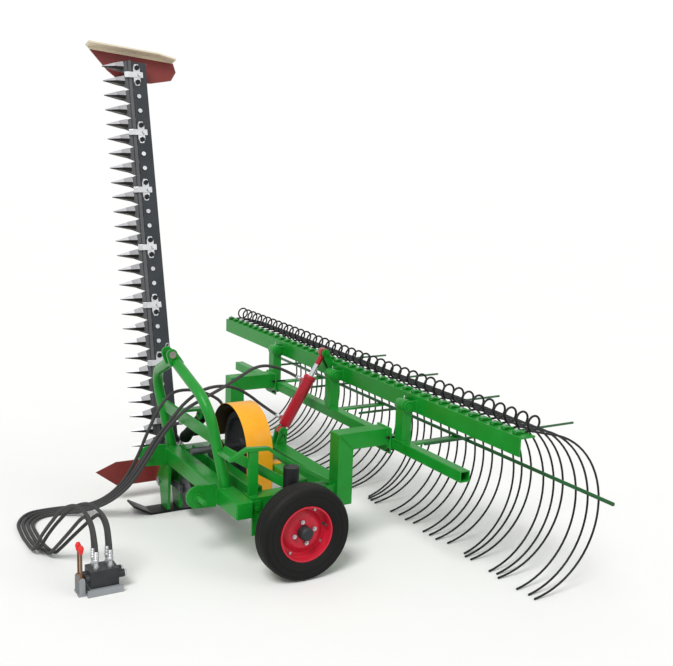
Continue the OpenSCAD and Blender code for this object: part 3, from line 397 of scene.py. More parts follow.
class Finishes:
    """The machine's finishes, each named for the real material and for the painted light and shade
    that some carry.
    """

    # Alkyd enamel sprayed on tube and plate: glossy, slow drifts of tone, rubbed bare at the edges
    GREEN = Finish(
        "green_alkyd_enamel", "0a7f1e", "128a28", 0.34, coat=0.08, specular=0.25, wear=0.3,
        grain_mm=9, bump_mm=0.12, dust=0.03,
    )
    # The same enamel brushed thin on round bar: darker and less glossy
    DARK_GREEN = Finish(
        "dark_green_enamel", "0d4a1e", "145628", 0.42, coat=0.05, specular=0.3, wear=0.3, dust=0.04
    )
    # Enamel on rolled sheet: even, a broad soft shine over the curve, painted shade inside the drum
    ORANGE = Finish(
        "orange_enamel_sheet_shaded_inside", "efa012", "f3ad24", 0.36, coat=0.08, specular=0.3, wear=0.3,
        dust=0.05,
        shaded_hollow=(tuple(row((0, 0, 405)).tolist()), 213.6 * MM, float(row((0, 83.3, 0))[1])),
    )
    # Thick enamel on a turned barrel: deep red with a narrow highlight along it
    CRIMSON = Finish(
        "crimson_enamel", "a30f25", "b0162b", 0.32, coat=0.12, specular=0.35, wear=0.2, dust=0.04
    )
    # Enamel on a pressed rim: brighter red, dusty in its hollows
    RIM_RED = Finish(
        "red_enamel_rim", "b3142b", "bf1e34", 0.4, coat=0.08, specular=0.3, wear=0.2, dust=0.04
    )
    # Primer on cast and bent plate: dull red-brown, scuffed pale where it drags over the ground
    MAROON = Finish(
        "maroon_primer", "6b2320", "7a2d29", 0.55, wear=0.8, wear_colour="b9a98c", dust=0.1
    )
    # The same primer with a cream edge painted on the outer board
    SHOE = replace(
        MAROON, name="maroon_primer_cream_edge", dust=0.05, band_colour="d8ccb4",
        band=past(bar_point(0, -434, 2276), (-math.sin(LEAN), 0.1011, math.cos(LEAN))),
    )
    # Satin enamel: near black, greyer on worn edges
    BLACK = Finish(
        "black_enamel", "0a0b0c", "111214", 0.42, coat=0.02, specular=0.2, wear=0.4,
        wear_colour="4a4a4c", dust=0.03,
    )
    # Oil-hardened wire: black, a thin metallic shine along each bend, tails sprayed with the beam
    SPRING = Finish(
        "blackened_spring_steel", "0c0d0f", "141518", 0.42, metallic=0.4, grain_mm=3, dust=0.02,
        band=past((0, 655, 0), (0, -1, 0)), band_colour="0f8424",
    )
    # The beam's enamel over the tines' clips, with their nuts left in bare zinc
    CLIP = Finish(
        "green_enamel_zinc_nuts", "0a7f1e", "128a28", 0.36, coat=0.05, specular=0.25, dust=0.03,
        band=past((0, 0, 765.3), (0, 0, 1)), band_colour="c4c6c8", band_metallic=0.7,
    )
    # Moulded tyre rubber: flat black, a little dust on what faces up
    TYRE = Finish(
        "tyre_rubber", "070707", "0e0e0d", 0.62, specular=0.2, grain_mm=2, bump_mm=0.15, dust=0.05
    )
    # Cloth-wrapped hose cover: black, a soft highlight, its fine wrap drawn coarse enough to show
    HOSE = Finish(
        "hose_rubber", "08080a", "0f0f11", 0.42, specular=0.17, grain_mm=1.5, bump_mm=0.1, dust=0.03
    )
    # Wrapped belt rubber: dull black
    BELT = Finish("belt_rubber", "0e0e0f", "171718", 0.75)
    # Hot-rolled bar with its scale on: dark blue-grey, bright on rubbed edges
    BAR = Finish(
        "dark_rolled_steel", "2b2f33", "383b3f", 0.46, metallic=0.5, wear=0.5, wear_colour="8d8b86",
        dust=0.06,
    )
    # Forged iron: brown-grey and grainy, with dark hardened tips
    GUARD = Finish(
        "forged_iron", "57524f", "67615d", 0.45, metallic=0.45, grain_mm=4, bump_mm=0.25, wear=0.5,
        wear_colour="9b948c", dust=0.05, band=past((0, -348, 0), (0, -1, 0)), band_colour="141312",
    )
    # The guards' undersides: almost black, painted shade on the side turned from the light
    GUARD_SHADE = Finish(
        "forged_iron_painted_shade", "1b1a1a", "262424", 0.5, metallic=0.3, grain_mm=4, bump_mm=0.25,
        dust=0.02,
    )
    # Zinc plate on fasteners: pale grey metal, slightly cloudy
    ZINC = Finish("zinc_plate", "c4c6c8", "aeb0b2", 0.34, metallic=0.9, grain_mm=8, dust=0.04)
    # Weathered zinc above, painted over with the frame's green below
    HITCH = Finish(
        "zinc_plate_and_green_enamel", "8a857d", "6f6a63", 0.42, metallic=0.7, grain_mm=8,
        dust=0.04, band=past((0, 0, 400), (0, 0, -1)), band_colour="0f8424",
    )
    # Ground hard chrome: a clear mirror along the rod
    CHROME = Finish(
        "hard_chrome", "d4d6d9", "c8cacd", 0.1, metallic=1.0, grain_mm=3, bump_mm=0.01, dust=0.02
    )
    # The same chrome with its eye painted red
    ROD = replace(
        CHROME, name="hard_chrome_red_eye", roughness=0.14, band_colour="a30f25",
        band=past((-150, 513.2, 740.2), (0, 0.51832, 0.85519)),
    )
    # Turned and milled steel under a film of oil: dark grey metal with fine tool grain
    STEEL = Finish("machined_steel", "5d5f62", "4e5053", 0.4, metallic=0.8, grain_mm=3)
    # Tempered knife steel: darker than the turned pieces, with sap dried on it
    KNIFE = Finish(
        "tempered_knife_steel", "4d4e50", "5a5b5d", 0.42, metallic=0.6, grain_mm=3, dust=0.05
    )
    # Guard backs ground bright: smoother than the forging round them, and paler partly as painted
    # light on the lit upper side
    GROUND_LIT = Finish(
        "ground_guard_steel_painted_light", "a3a2a6", "b1b0b3", 0.36, metallic=0.7, grain_mm=3, dust=0.03
    )
    # Sand-cast iron: dark and grainy
    CAST = Finish("cast_iron", "26282b", "323437", 0.6, metallic=0.4, grain_mm=3, bump_mm=0.25)
    # Cast valve block under thin black paint
    VALVE = Finish("valve_casting", "26282b", "333538", 0.48, metallic=0.3, grain_mm=3, bump_mm=0.2)
    # Grey enamel on folded plate
    BRACKET = Finish("grey_enamel_plate", "8f9396", "83878a", 0.45, wear=0.4)
    # Browned steel rod with a red moulded grip
    LEVER = Finish(
        "lever_rod_and_grip", "6b4a30", "7a5638", 0.4, metallic=0.3,
        band=past((0, 0, 183), (0, 0, 1)), band_colour="d8231e",
    )


NODE_FINISH = {
    Finishes.GREEN: (
        "front_beam rear_beam side_rails drive_bridges goosenecks mast_arch mast_crossbar "
        "top_link_clevis lower_link_plates guard_stay wheel_post_clamp rake_carrier rake_uprights "
        "stripper_arms rake_beam hinge_yoke rake_hinge_pins cylinder_pins rake_lever_pin"
    ),
    Finishes.DARK_GREEN: "stripper_rods",
    Finishes.ORANGE: "belt_guard",
    Finishes.CRIMSON: "rake_barrel",
    Finishes.RIM_RED: "wheel_rim",
    Finishes.MAROON: "inner_shoe",
    Finishes.SHOE: "outer_shoe",
    Finishes.BLACK: "wheel_post lift_barrel inner_skid",
    Finishes.CLIP: "tine_clips",
    Finishes.BELT: "drive_belts",
    Finishes.BAR: "cutter_bar",
    Finishes.GUARD: "knife_guards",
    Finishes.ZINC: "wheel_nuts knife_clips guard_bolts hinge_pins valve_fittings",
    Finishes.HITCH: "hitch_pins",
    Finishes.CHROME: "lift_rod",
    Finishes.ROD: "rake_rod",
    Finishes.STEEL: "pto_shaft crank_shaft pitman",
    Finishes.KNIFE: "knife_sections knife_back",
    Finishes.CAST: "pto_bearings crank_bearings drive_pulley driven_pulley wheel_hub",
    Finishes.VALVE: "valve_body",
    Finishes.BRACKET: "valve_bracket",
    Finishes.LEVER: "valve_lever_left valve_lever_right",
    Finishes.TYRE: "tyre",
    Finishes.SPRING: "rake_tines",
    Finishes.HOSE: "rake_hose_a rake_hose_b lift_hose_a lift_hose_b",
}


def placed(name: str, data: bpy.types.ID) -> bpy.types.Object:
    """A new object of the scene that holds the data."""
    obj = bpy.data.objects.new(name, data)
    bpy.context.scene.collection.objects.link(obj)
    return obj


def piece(
    name: str, parts: Sequence[Surface], finish: Finish, body: Body, smooth: bool = True
) -> bpy.types.Object:
    """A new mesh piece in the row frame that rides on a body.

    Args:
        name: the piece's name.
        parts: its surfaces, put together as one mesh.
        finish: its finish.
        body: the body that it moves with.
        smooth: whether its faces are shaded smooth.

    Returns:
        The new object.
    """
    start = np.cumsum([0] + [len(part.points) for part in parts])
    faces = [[i + int(o) for i in face] for part, o in zip(parts, start) for face in part.faces]
    mesh = bpy.data.meshes.new(name)
    mesh.from_pydata(np.vstack([part.points for part in parts]).tolist(), [], faces)
    mesh.validate()
    if smooth:
        mesh.shade_smooth()
    mesh.materials.append(finish.material())
    obj = placed(name, mesh)
    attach(obj, body.value)
    LOG.info("%s: %d points", name, start[-1])
    return obj


# The studio


@dataclass
class Studio:
    """Camera, floor and light. The camera stands where the photograph was taken from."""

    focal_px: float = 981.0
    width_px: float = 673.0
    yaw: float = math.radians(60.02)
    pitch: float = math.radians(10.57)
    roll: float = math.radians(-1.77)
    eye_mm: tuple = (4244.8, -1910.9, 1847.0)
    floor_half: float = 30.0
    floor_cloud_mm: float = 2000.0 / 3.0
    sky_lit: float = 0.5
    sky_seen: float = 1.0
    sun: float = 2.2
    fill: float = 0.5

    def camera(self) -> None:
        """Sets the camera from its place and its three turns."""
        data = bpy.data.cameras.new("studio_camera")
        data.sensor_fit = "HORIZONTAL"
        data.sensor_width = 36.0
        data.lens = self.focal_px * data.sensor_width / self.width_px
        data.clip_end = 100.0
        flat = math.cos(self.pitch)
        ahead = np.array(
            [-math.sin(self.yaw) * flat, math.cos(self.yaw) * flat, -math.sin(self.pitch)]
        )
        level = np.array([math.cos(self.yaw), math.sin(self.yaw), 0.0])
        down = np.cross(ahead, level)
        right = math.cos(self.roll) * level + math.sin(self.roll) * down
        below = -math.sin(self.roll) * level + math.cos(self.roll) * down
        turn = np.stack([right, -below, -ahead], 1)
        matrix = Matrix(turn.tolist()).to_4x4()
        matrix.translation = Vector(row(self.eye_mm).tolist())
        obj = placed("studio_camera", data)
        obj.matrix_world = matrix
        bpy.context.scene.camera = obj

    def floor(self) -> None:
        """A wide pale floor with a faint unevenness."""
        mesh = bpy.data.meshes.new("floor")
        half = self.floor_half
        corners = [(-half, -half, 0), (half, -half, 0), (half, half, 0), (-half, half, 0)]
        mesh.from_pydata(corners, [], [(0, 1, 2, 3)])
        pale = bpy.data.materials.new("pale_floor")
        pale.use_nodes = True
        tree = pale.node_tree
        shader = tree.nodes["Principled BSDF"]
        where = add(tree, "TexCoord").outputs["Object"]
        patches = {"Vector": where, "Scale": 1 / (self.floor_cloud_mm * MM), "Detail": 3.0}
        cloud = add(tree, "TexNoise", patches).outputs["Fac"]
        tones = {"Factor": cloud, "A": linear("f2f2f0"), "B": linear("f6f6f4")}
        tone = add(tree, "Mix", tones, data_type="RGBA")
        tree.links.new(tone.outputs[2], shader.inputs["Base Color"])
        shader.inputs["Roughness"].default_value = 0.9
        mesh.materials.append(pale)
        obj = placed("floor", mesh)

    def light(self) -> None:
        """An open sky that shows white, a broad soft sun from the camera's left and a weak fill."""
        world = bpy.data.worlds.new("studio_sky")
        world.use_nodes = True
        tree = world.node_tree
        back = tree.nodes["Background"]
        back.inputs["Color"].default_value = linear("ffffff")
        ray = add(tree, "LightPath").outputs
        seen = ray["Is Camera Ray"]
        for kind in ("Is Glossy Ray", "Is Transmission Ray"):
            seen = maths(tree, "MAXIMUM", seen, ray[kind])
        change = self.sky_seen - self.sky_lit
        strength = maths(tree, "MULTIPLY_ADD", seen, change, self.sky_lit)
        tree.links.new(strength, back.inputs["Strength"])
        bpy.context.scene.world = world
        for name, place, power, angle in (
            ("key_sun", (3.2, -3.6, 6.0), self.sun, 24.0),
            ("fill_sun", (5.0, 4.5, 3.0), self.fill, 40.0),
        ):
            data = bpy.data.lights.new(name, "SUN")
            data.energy = power
            data.angle = math.radians(angle)
            obj = placed(name, data)
            obj.location = place
            obj.rotation_euler = (-Vector(place)).to_track_quat("-Z", "Y").to_euler()
        bpy.context.scene.view_settings.view_transform = "Standard"


# Hoses


@dataclass
class HoseSet:
    """The four hydraulic hoses, each along the route of its solid."""

    diameter: float = 16.0
    spans: int = 8
    sides: int = 20
    seat: float = 0.1
    nut_length: float = 15.0
    nut_radius: float = 13.5
    nut_corner: float = 0.86
    ferrule_length: float = 34.0
    ferrule_radius: float = 11.0
    ferrule_points: int = 29
    rolls: int = 5
    roll_depth: float = 1.1
    lip_depth: float = 2.2

    @staticmethod
    def down(k: int) -> list:
        """Points of hose k from the mast's crossbar downwards, in millimetres."""
        return [(-30 - 36 * k, -395, 470), (-110 - 32 * k, -440, 335)]

    @staticmethod
    def ground(k: int) -> list:
        """Points of hose k round over the ground towards the valve, in millimetres."""
        return [
            (-200 - 28 * k, -495, 200), (-305 - 25 * k, -570 + 3 * k, 95),
            (-405 - 25 * k, -665 + 7 * k, 34), (-476 - 26 * k, -765 + 2 * k, 12.5),
            (-470 - 24 * k, -850 - 14 * k, 11.5), (-396 - 12 * k, -908 - 20 * k, 11.5),
            (-280, -920 - 22 * k, 11.5),
        ]

    def routes(self) -> dict:
        """Each node's points from its cylinder's port to the valve, in millimetres."""
        return {
            "rake_hose_a": [
                (-214.3, 458.2, 649.6), (-222, 458.2, 649.6), (-258, 456, 653), (-298, 426, 672),
                (-311, 366, 700), (-286, 280, 724), (-225, 185, 732), (-150, 90, 722),
                (-50, -60, 694), (30, -200, 668), (52, -290, 634), (40, -350, 575),
                *self.down(0), *self.ground(0),
                (-110, -920, 11.5), (12, -905, 23), (61, -890, 55.5), (162, -845, 157),
                (264.6, -794, 259.4), (324, -783, 284), (383.4, -780, 259.4), (408, -780, 200),
                (408, -780, 143), (408, -780, 135),
            ],
            "rake_hose_b": [
                (-214.3, 341.1, 456.3), (-222, 341.1, 456.3), (-258, 340, 457), (-308, 320, 473),
                (-333, 272, 511), (-328, 210, 560), (-285, 115, 618), (-205, -10, 660),
                (-100, -150, 675), (-25, -270, 640), (0, -350, 570),
                *self.down(1), *self.ground(1),
                (-110, -942, 11.5), (12, -931, 23), (61, -920, 55.5), (162, -884, 157),
                (264.6, -850, 259.4), (324, -842, 284), (383.4, -840, 259.4), (408, -840, 200),
                (408, -840, 143), (408, -840, 135),
            ],
            "lift_hose_a": [
                (-144.6, -205.3, 512.8), (-144.6, -213, 512.8), (-146, -265, 508),
                (-150, -325, 486), (-160, -375, 430), (-188, -420, 345),
                *self.ground(2),
                (-186, -964, 11.5), (-64, -962, 23), (-15, -955, 56), (68, -940, 139),
                (150, -916, 221), (233.5, -876, 304.5), (324, -826, 342), (414.5, -788, 304.5),
                (452, -780, 214), (452, -780, 143), (452, -780, 135),
            ],
            "lift_hose_b": [
                (-302, -88.7, 397.8), (-302, -81, 397.8), (-303, -30, 400), (-307, 30, 425),
                (-312, 58, 485), (-312, 34, 552), (-300, -50, 605), (-270, -160, 640),
                (-220, -265, 640), (-190, -345, 570), (-190, -400, 460), (-225, -440, 335),
                *self.ground(3),
                (-186, -986, 11.5), (-64, -985, 23), (-15, -980, 56), (68, -968, 139),
                (150, -948, 221), (233.5, -918, 304.5), (324, -880, 342), (414.5, -850, 304.5),
                (452, -840, 214), (452, -840, 143), (452, -840, 135),
            ],
        }

    def build(self) -> None:
        """Sweeps the hoses, their swivel nuts and their crimped ferrules."""
        for name, route in self.routes().items():
            faces = np.array([route[0], route[-1]], float)
            curve = spline(np.array(route[1:-1], float), self.spans)
            line = row(np.vstack([faces[:1], curve, faces[1:]]))
            cover = [sweep(line, self.diameter / 2 * MM, self.sides)]
            tube = piece(name + "_tube", cover, Finishes.HOSE, Body.FRAME)
            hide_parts(name)
            ends = [make(way) for make in (self.nut, self.ferrule) for way in (line, line[::-1])]
            sleeves = piece(name + "_ends", ends, Finishes.ZINC, Body.FRAME, False)

    def nut(self, line: np.ndarray) -> Surface:
        """The hexagon swivel nut at the start of a hose's line, with its corners turned down."""
        size = np.array([self.nut_corner, 1.0, 1.0, 1.0, 1.0, self.nut_corner]) * self.nut_radius
        return sweep(points_at(line, np.linspace(self.seat, self.nut_length, 6) * MM), size * MM, 6)

    def ferrule(self, line: np.ndarray) -> Surface:
        """The crimped sleeve behind that nut: a tube with rolled rings and a lip at its end."""
        count = self.ferrule_points
        at = np.linspace(self.nut_length - 1, self.nut_length + self.ferrule_length, count) * MM
        phase = np.linspace(0, 1, count)
        rolled = np.cos(phase * 2 * np.pi * self.rolls) < -0.2
        lip = phase > 0.96
        radius = self.ferrule_radius - self.roll_depth * rolled - self.lip_depth * lip
        return sweep(points_at(line, at), radius * MM, 24)


# Rake tines


@dataclass
class TineSet:
    """The rake's spring tines: a tail on the beam, one turn of a coil and a bow to the ground.

    points counts those of the tail, the coil and the bow. lean is the sideways scatter of the tips
    and lift the upward one of the bows, in degrees. bunches counts the tines whose tips gather, and
    pull says how far they do, as a share of their spacing.
    """

    count: int = 40
    first_x: float = -1499.0
    last_x: float = 1333.0
    wire: float = 9.6
    sides: int = 8
    points: tuple = (5, 25, 30)
    tail_y: tuple = (604.0, 692.0)
    coil_r: float = 32.0
    coil_y: float = 695.0
    wire_z: float = 756.2
    shift: float = 11.0
    bow_y: float = 822.5
    bow_z: float = 724.5
    bow_r: float = 368.0
    bow_slope: float = 16.0
    bow_turn: float = 172.0
    lean: float = 8.0
    lift: float = 2.6
    bunches: tuple = (3, 4, 4, 4, 4, 4, 4, 4, 3, 3, 3)
    pull: tuple = (0.1, 0.6)
    seed: int = 11

    def line(self, lean: float, lift: float) -> np.ndarray:
        """One tine's centre line: straight tail, helix, short straight run and circular bow.

        The bow's circle starts on a downward slope, so that its lines pass below the coils. lean is
        how far the tip stands to one side, in millimetres, and lift how far the bow is bent up, in
        degrees.
        """
        m, n, k = self.points
        tail = np.stack([np.zeros(m), np.linspace(*self.tail_y, m), np.full(m, self.wire_z)], 1)
        a = np.linspace(0, 2 * np.pi, n)
        coil_y = self.coil_y + self.coil_r * np.sin(a)
        coil_z = self.wire_z + self.coil_r * (1 - np.cos(a))
        coil = np.stack([self.shift * a / a[-1], coil_y, coil_z], 1)
        b = np.radians(np.linspace(self.bow_slope, self.bow_turn, k))
        share = np.linspace(0, 1, k)
        turn = np.radians(lift) * share
        y = self.bow_r * (np.sin(b) - np.sin(b[0]))
        z = -self.bow_r * (np.cos(b[0]) - np.cos(b))
        bow_y = self.bow_y + y * np.cos(turn) - z * np.sin(turn)
        bow_z = self.bow_z + y * np.sin(turn) + z * np.cos(turn)
        bow = np.stack([self.shift + lean * share**2, bow_y, bow_z], 1)
        return np.vstack([tail, coil, bow])

    def build(self) -> None:
        """Sweeps the tines along the beam, bent by use so that their tips gather in bunches."""
        chance = np.random.default_rng(self.seed)
        step = (self.last_x - self.first_x) / (self.count - 1)
        inner = np.concatenate([np.arange(m) - (m - 1) / 2 for m in self.bunches])
        pulls = np.repeat(chance.uniform(*self.pull, len(self.bunches)), self.bunches)
        leans = self.lean * chance.uniform(-1, 1, self.count) - step * pulls * inner
        lifts = self.lift * chance.uniform(0, 1, self.count)
        places = [np.array([self.first_x + step * k, 0, 0]) for k in range(self.count)]
        wires = [
            sweep(row(self.line(lean, lift) + place), self.wire / 2 * MM, self.sides)
            for lean, lift, place in zip(leans, lifts, places)
        ]
        tines = piece("spring_tines", wires, Finishes.SPRING, Body.RAKE)
        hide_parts("rake_tines")


# The wheel's tyre


@dataclass
class Tyre:
    """A small rib tyre: a turned section with four grooves and moulded rings on its walls."""

    radius: float = 213.5
    width: float = 110.0
    rim_radius: float = 126.2
    middle: tuple = (690.0, 0.0, 213.5)
    tread_start: float = 206.0
    tread_rise: float = 2.0
    grooves: tuple = (-24.0, -8.0, 8.0, 24.0)
    groove_depth: float = 5.5
    groove_half: float = 2.4
    groove_side: float = 0.8
    rings: tuple = (140.0, 150.0, 168.0, 172.0, 191.0, 198.0)
    ring_depth: float = 1.8
    ring_width: float = 1.3
    wall_start: float = 44.0
    points: int = 320
    sides: int = 160

    def section(self) -> tuple:
        """The section from bead to bead: distances off the middle plane and radii, in millimetres.

        A groove takes its depth off the radius near its line, down short steep sides. A ring takes
        its depth off the wall by a bell curve of the radius.
        """
        half = self.width / 2
        wall = np.array(
            [
                (40, self.rim_radius), (45, 132), (49, 141), (52, 150), (half - 1, 162),
                (half, 176), (half, 187.5), (half - 2, 196), (half - 6, 202.5), (half - 11, 207),
                (half - 17, 210.4), (half - 24, 212.6), (half - 30, self.radius),
            ],
            float,
        )
        outline = np.vstack([wall * (-1, 1), wall[::-1]])
        x, r = points_at(outline, np.linspace(0, run_lengths(outline)[-1], self.points)).T
        near = np.abs(x[:, None] - np.array(self.grooves)[None]).min(1)
        tread = np.clip((r - self.tread_start) / self.tread_rise, 0, 1)
        cut = np.clip((self.groove_half - near) / self.groove_side, 0, 1)
        r = r - self.groove_depth * cut * tread
        bell = np.exp(-(((r[:, None] - np.array(self.rings)[None]) / self.ring_width) ** 2)).max(1)
        on_wall = bell * (np.abs(x) > self.wall_start)
        return x - self.ring_depth * np.sign(x) * on_wall, r

    def build(self) -> None:
        """Turns the section round the axle and closes it at the bead."""
        x, r = self.section()
        angle = np.linspace(0, 2 * np.pi, self.sides, endpoint=False)
        centre = row(self.middle)
        across = np.broadcast_to(centre[0] + x[:, None] * MM, (len(x), self.sides))
        rear = centre[1] + r[:, None] * MM * np.cos(angle)[None]
        up = centre[2] + r[:, None] * MM * np.sin(angle)[None]
        points = np.stack([across, rear, up], -1).reshape(-1, 3)
        # A row more than there are rings, counted round to the first one, closes the bead
        faces = grid_faces(len(x) + 1, self.sides) % len(points)
        surface = Surface(points, faces[:, ::-1].tolist())
        tyre = piece("rib_tyre", [surface], Finishes.TYRE, Body.WHEEL)
        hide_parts("tyre")


# Cutter bar


@dataclass
class GuardNoses:
    """The roof-shaped backs of the knife guards: a ridge from the tip, ground on its upper side.
    The upper side is paler also as painted light, and the lower side dark as painted shade.

    top, width and rise are rows of (distance ahead, value) along a guard: its upper face, and the
    shares of the back's width and of the ridge's height.
    """

    count: int = 27
    ridge: float = 13.0
    upper: float = 33.0
    lower: float = -21.6
    sink: float = 1.2
    stations: tuple = (-374.0, -345.0, -310.0, -285.0, -262.5)
    top: tuple = ((262, -18), (310, -15), (375, -30))
    width: tuple = ((255, 1.0), (375, 0.085))
    rise: tuple = ((262, 1.0), (310, 0.8), (375, 0.05))

    def wedge(self, s: float, reach: float) -> Surface:
        """One side of the back of the guard at s: a triangle carried along while its size changes.

        reach is the side's width at the guard's root, up the bar or, below zero, down it.
        """
        y = np.array(self.stations)
        top, width, rise = (
            np.interp(-y, *zip(*table)) for table in (self.top, self.width, self.rise)
        )
        width, rise = reach * width, self.ridge * rise
        base = top - self.sink
        corners = [(base, 0 * width), (base, width), (top + rise, 0 * width)]
        rings = np.stack([bar_point(n, y, s + w) for n, w in corners], 1)
        faces = capped_faces(len(y), len(corners))
        if reach < 0:
            faces = [face[::-1] for face in faces]
        return Surface(row(rings.reshape(-1, 3)), faces)

    def build(self) -> None:
        """Sets a back on each guard."""
        places = [FIRST_GUARD + GUARD_PITCH * i for i in range(self.count)]
        # Upper sides: ground steel made paler with painted light; lower sides: painted shade
        for name, reach, finish in (
            ("guard_backs_ground_painted_light", self.upper, Finishes.GROUND_LIT),
            ("guard_backs_painted_shade", self.lower, Finishes.GUARD_SHADE),
        ):
            backs = [self.wedge(place, reach) for place in places]
            piece(name, backs, finish, Body.CUTTER, smooth=False)


@dataclass
class ClipPlates:
    """The plated ears of the knife clips, and the dark nuts that hold them on the guard bolts."""

    guards: tuple = (1, 5, 9, 13, 17, 21, 25)
    face: float = -19.0
    sink: float = 0.2
    thick: float = 2.5
    bolt_y: float = -190.0
    ears: tuple = (
        (16, -36), (16, 36), (8, 57), (-12, 57), (-20, 36), (-20, -36), (-12, -57), (8, -57),
    )
    nut: tuple = ((1, 13), (1.8, 13.6), (9.2, 13.6), (10.4, 12))

    def plate(self, s: float) -> Surface:
        """The plate at s up the bar: its outline carried off the bar's face by its thickness."""
        y, up = np.array(self.ears, float).T
        levels = (self.face - self.sink, self.face + self.thick)
        rings = [bar_point(np.full(len(y), n), self.bolt_y + y, s + up) for n in levels]
        return Surface(row(np.vstack(rings)), capped_faces(len(levels), len(y)))

    def build(self) -> None:
        """Sets a plate under each clip and a nut on the guard bolts at both sides of it."""
        places = [FIRST_GUARD + GUARD_PITCH * (i + 0.5) for i in self.guards]
        plates = [self.plate(s) for s in places]
        piece("clip_plates", plates, Finishes.ZINC, Body.CUTTER, smooth=False)
        bolts = [s + side * GUARD_PITCH / 2 for s in places for side in (-1, 1)]
        off = bar_point(1, 0, 0) - bar_point(0, 0, 0)
        nuts = [lathe(self.nut, row(bar_point(self.face, self.bolt_y, s)), off, 6) for s in bolts]
        piece("clip_nuts", nuts, Finishes.BLACK, Body.CUTTER, smooth=False)


# Welds and small fittings


@dataclass
class Welds:
    """Fillet welds along the seams of the green steelwork."""

    radius: float = 3.0
    spacing: float = 1.7
    ripple_mm: float = 5.0
    ripple: float = 0.16
    end_mm: float = 4.0
    end_share: float = 0.55
    sides: int = 8
    rails: tuple = (490.0, -300.0)
    masts: tuple = (345.0, -345.0)
    ring_points: int = 49

    def bead(self, corners: Sequence) -> Surface:
        """A bead along the corners: a tube that swells with each ripple and tapers at its ends."""
        p = np.asarray(corners, float)
        length = run_lengths(p)[-1]
        at = np.arange(0, length + 0.1, self.spacing)
        swell = 1 + self.ripple * np.abs(np.sin(np.pi * at / self.ripple_mm))
        taper = np.clip(np.minimum(at, length - at) / self.end_mm + self.end_share, 0, 1)
        return sweep(row(points_at(p, at)), self.radius * swell * taper * MM, self.sides)

    def frame_seams(self) -> list:
        """Seams of the frame, goosenecks, carrier and brackets, as lists of points."""
        seams = []
        for x in NECKS:
            inner = x - 40 if x > 0 else x + 40
            seams += [[(e, 253, 577), (e, 329, 501)] for e in (x - 40, x + 40)]
            seams += [[(x - 35, 331, 499), (x + 35, 331, 499)]]
            seams += [[(inner, 254, 336), (inner, 328, 336)]]
            seams += [[(inner, 249, 258), (inner, 249, 334)]]
            seams += [[(x - 37, 512, 581), (x + 37, 512, 581)]]
            seams += [[(e, 512, 503), (e, 512, 578)] for e in (x - 41, x + 41)]
        for x in self.rails:
            seams += [[(x - 37, y, 336), (x + 37, y, 336)] for y in (-174, 249)]
            seams += [[(e, y, 259), (e, y, 333)] for e in (x - 41, x + 41) for y in (-174, 249)]
        for x in UPRIGHTS:
            seams += [[(x - 29, 524, 536), (x + 29, 524, 536)]]
            seams += [[(x - 18, 576, 520), (x + 18, 576, 520)]]
            seams += [[(e, 527, 536), (e, 573, 536)] for e in (x - 31, x + 31)]
        seams += [[(e, -256, 259), (e, -256, 333)] for e in (336, 319, -336, -319)]
        seams += [[(e, -171, 336), (e, -133, 336)] for e in (487, 509)]
        seams += [[(531, y, z), (531, y, z + 30)] for y in (-46, 46) for z in (258, 303)]
        seams += [[(-376, y, 254), (-286, y, 254)] for y in (-256, -174)]
        seams += [[(e, 274, 336), (e, 327, 336)] for e in (-181, -119)]
        turn = np.linspace(0, 2 * np.pi, self.ring_points)
        level = np.full(self.ring_points, 336.0)
        for x in self.masts:
            seams.append(np.stack([x + 26 * np.cos(turn), -215 + 26.6 * np.sin(turn), level], 1))
        return seams

    def rake_seams(self) -> list:
        """Seams of the hinge ears on the rake's beam, as pairs of points in millimetres."""
        return [[(x + e, 591, 683), (x + e, 591, 728)] for x in UPRIGHTS for e in (-43.5, 43.5)]

    def build(self) -> None:
        """Lays the beads on the frame and on the rake."""
        for name, seams, body in (
            ("frame_welds", self.frame_seams(), Body.FRAME),
            ("rake_welds", self.rake_seams(), Body.RAKE),
        ):
            piece(name, [self.bead(seam) for seam in seams], Finishes.GREEN, body)


@dataclass
class CarrierClamps:
    """U-bolts that hold the rake's carrier against the goosenecks' end plates."""

    spread: float = 54.5
    rod: float = 9.0
    sides: int = 12
    bend: float = 11.0
    bend_points: int = 8
    front: float = 497.0
    plate: float = 513.0
    back: float = 579.8
    top: float = 539.8
    low: float = 480.2
    nut: tuple = ((0, 7.4), (0.8, 8.4), (7.2, 8.4), (8, 7.4))

    def rod_line(self, x: float) -> np.ndarray:
        """The centre line of the U-bolt at x: two legs, and a back with quarter-circle bends."""
        t = np.linspace(0, np.pi / 2, self.bend_points)
        r = self.bend
        out, home = self.back - r + r * np.sin(t), self.back - r + r * np.cos(t)
        over, under = self.top - r + r * np.cos(t), self.low + r - r * np.sin(t)
        y = np.concatenate([[self.front], out, home, [self.front]])
        z = np.concatenate([[self.top], over, under, [self.low]])
        return np.stack([np.full(len(y), x), y, z], 1)

    def build(self) -> None:
        """Bends the bolts and runs their nuts up to the plates."""
        places = [neck + side * self.spread for neck in NECKS for side in (-1, 1)]
        rods = [sweep(row(self.rod_line(x)), self.rod / 2 * MM, self.sides) for x in places]
        piece("carrier_u_bolts", rods, Finishes.BLACK, Body.FRAME)
        seats = [row((x, self.plate, z)) for x in places for z in (self.top, self.low)]
        nuts = [lathe(self.nut, seat, (0, -1, 0), 6) for seat in seats]
        piece("u_bolt_nuts", nuts, Finishes.BLACK, Body.FRAME, smooth=False)


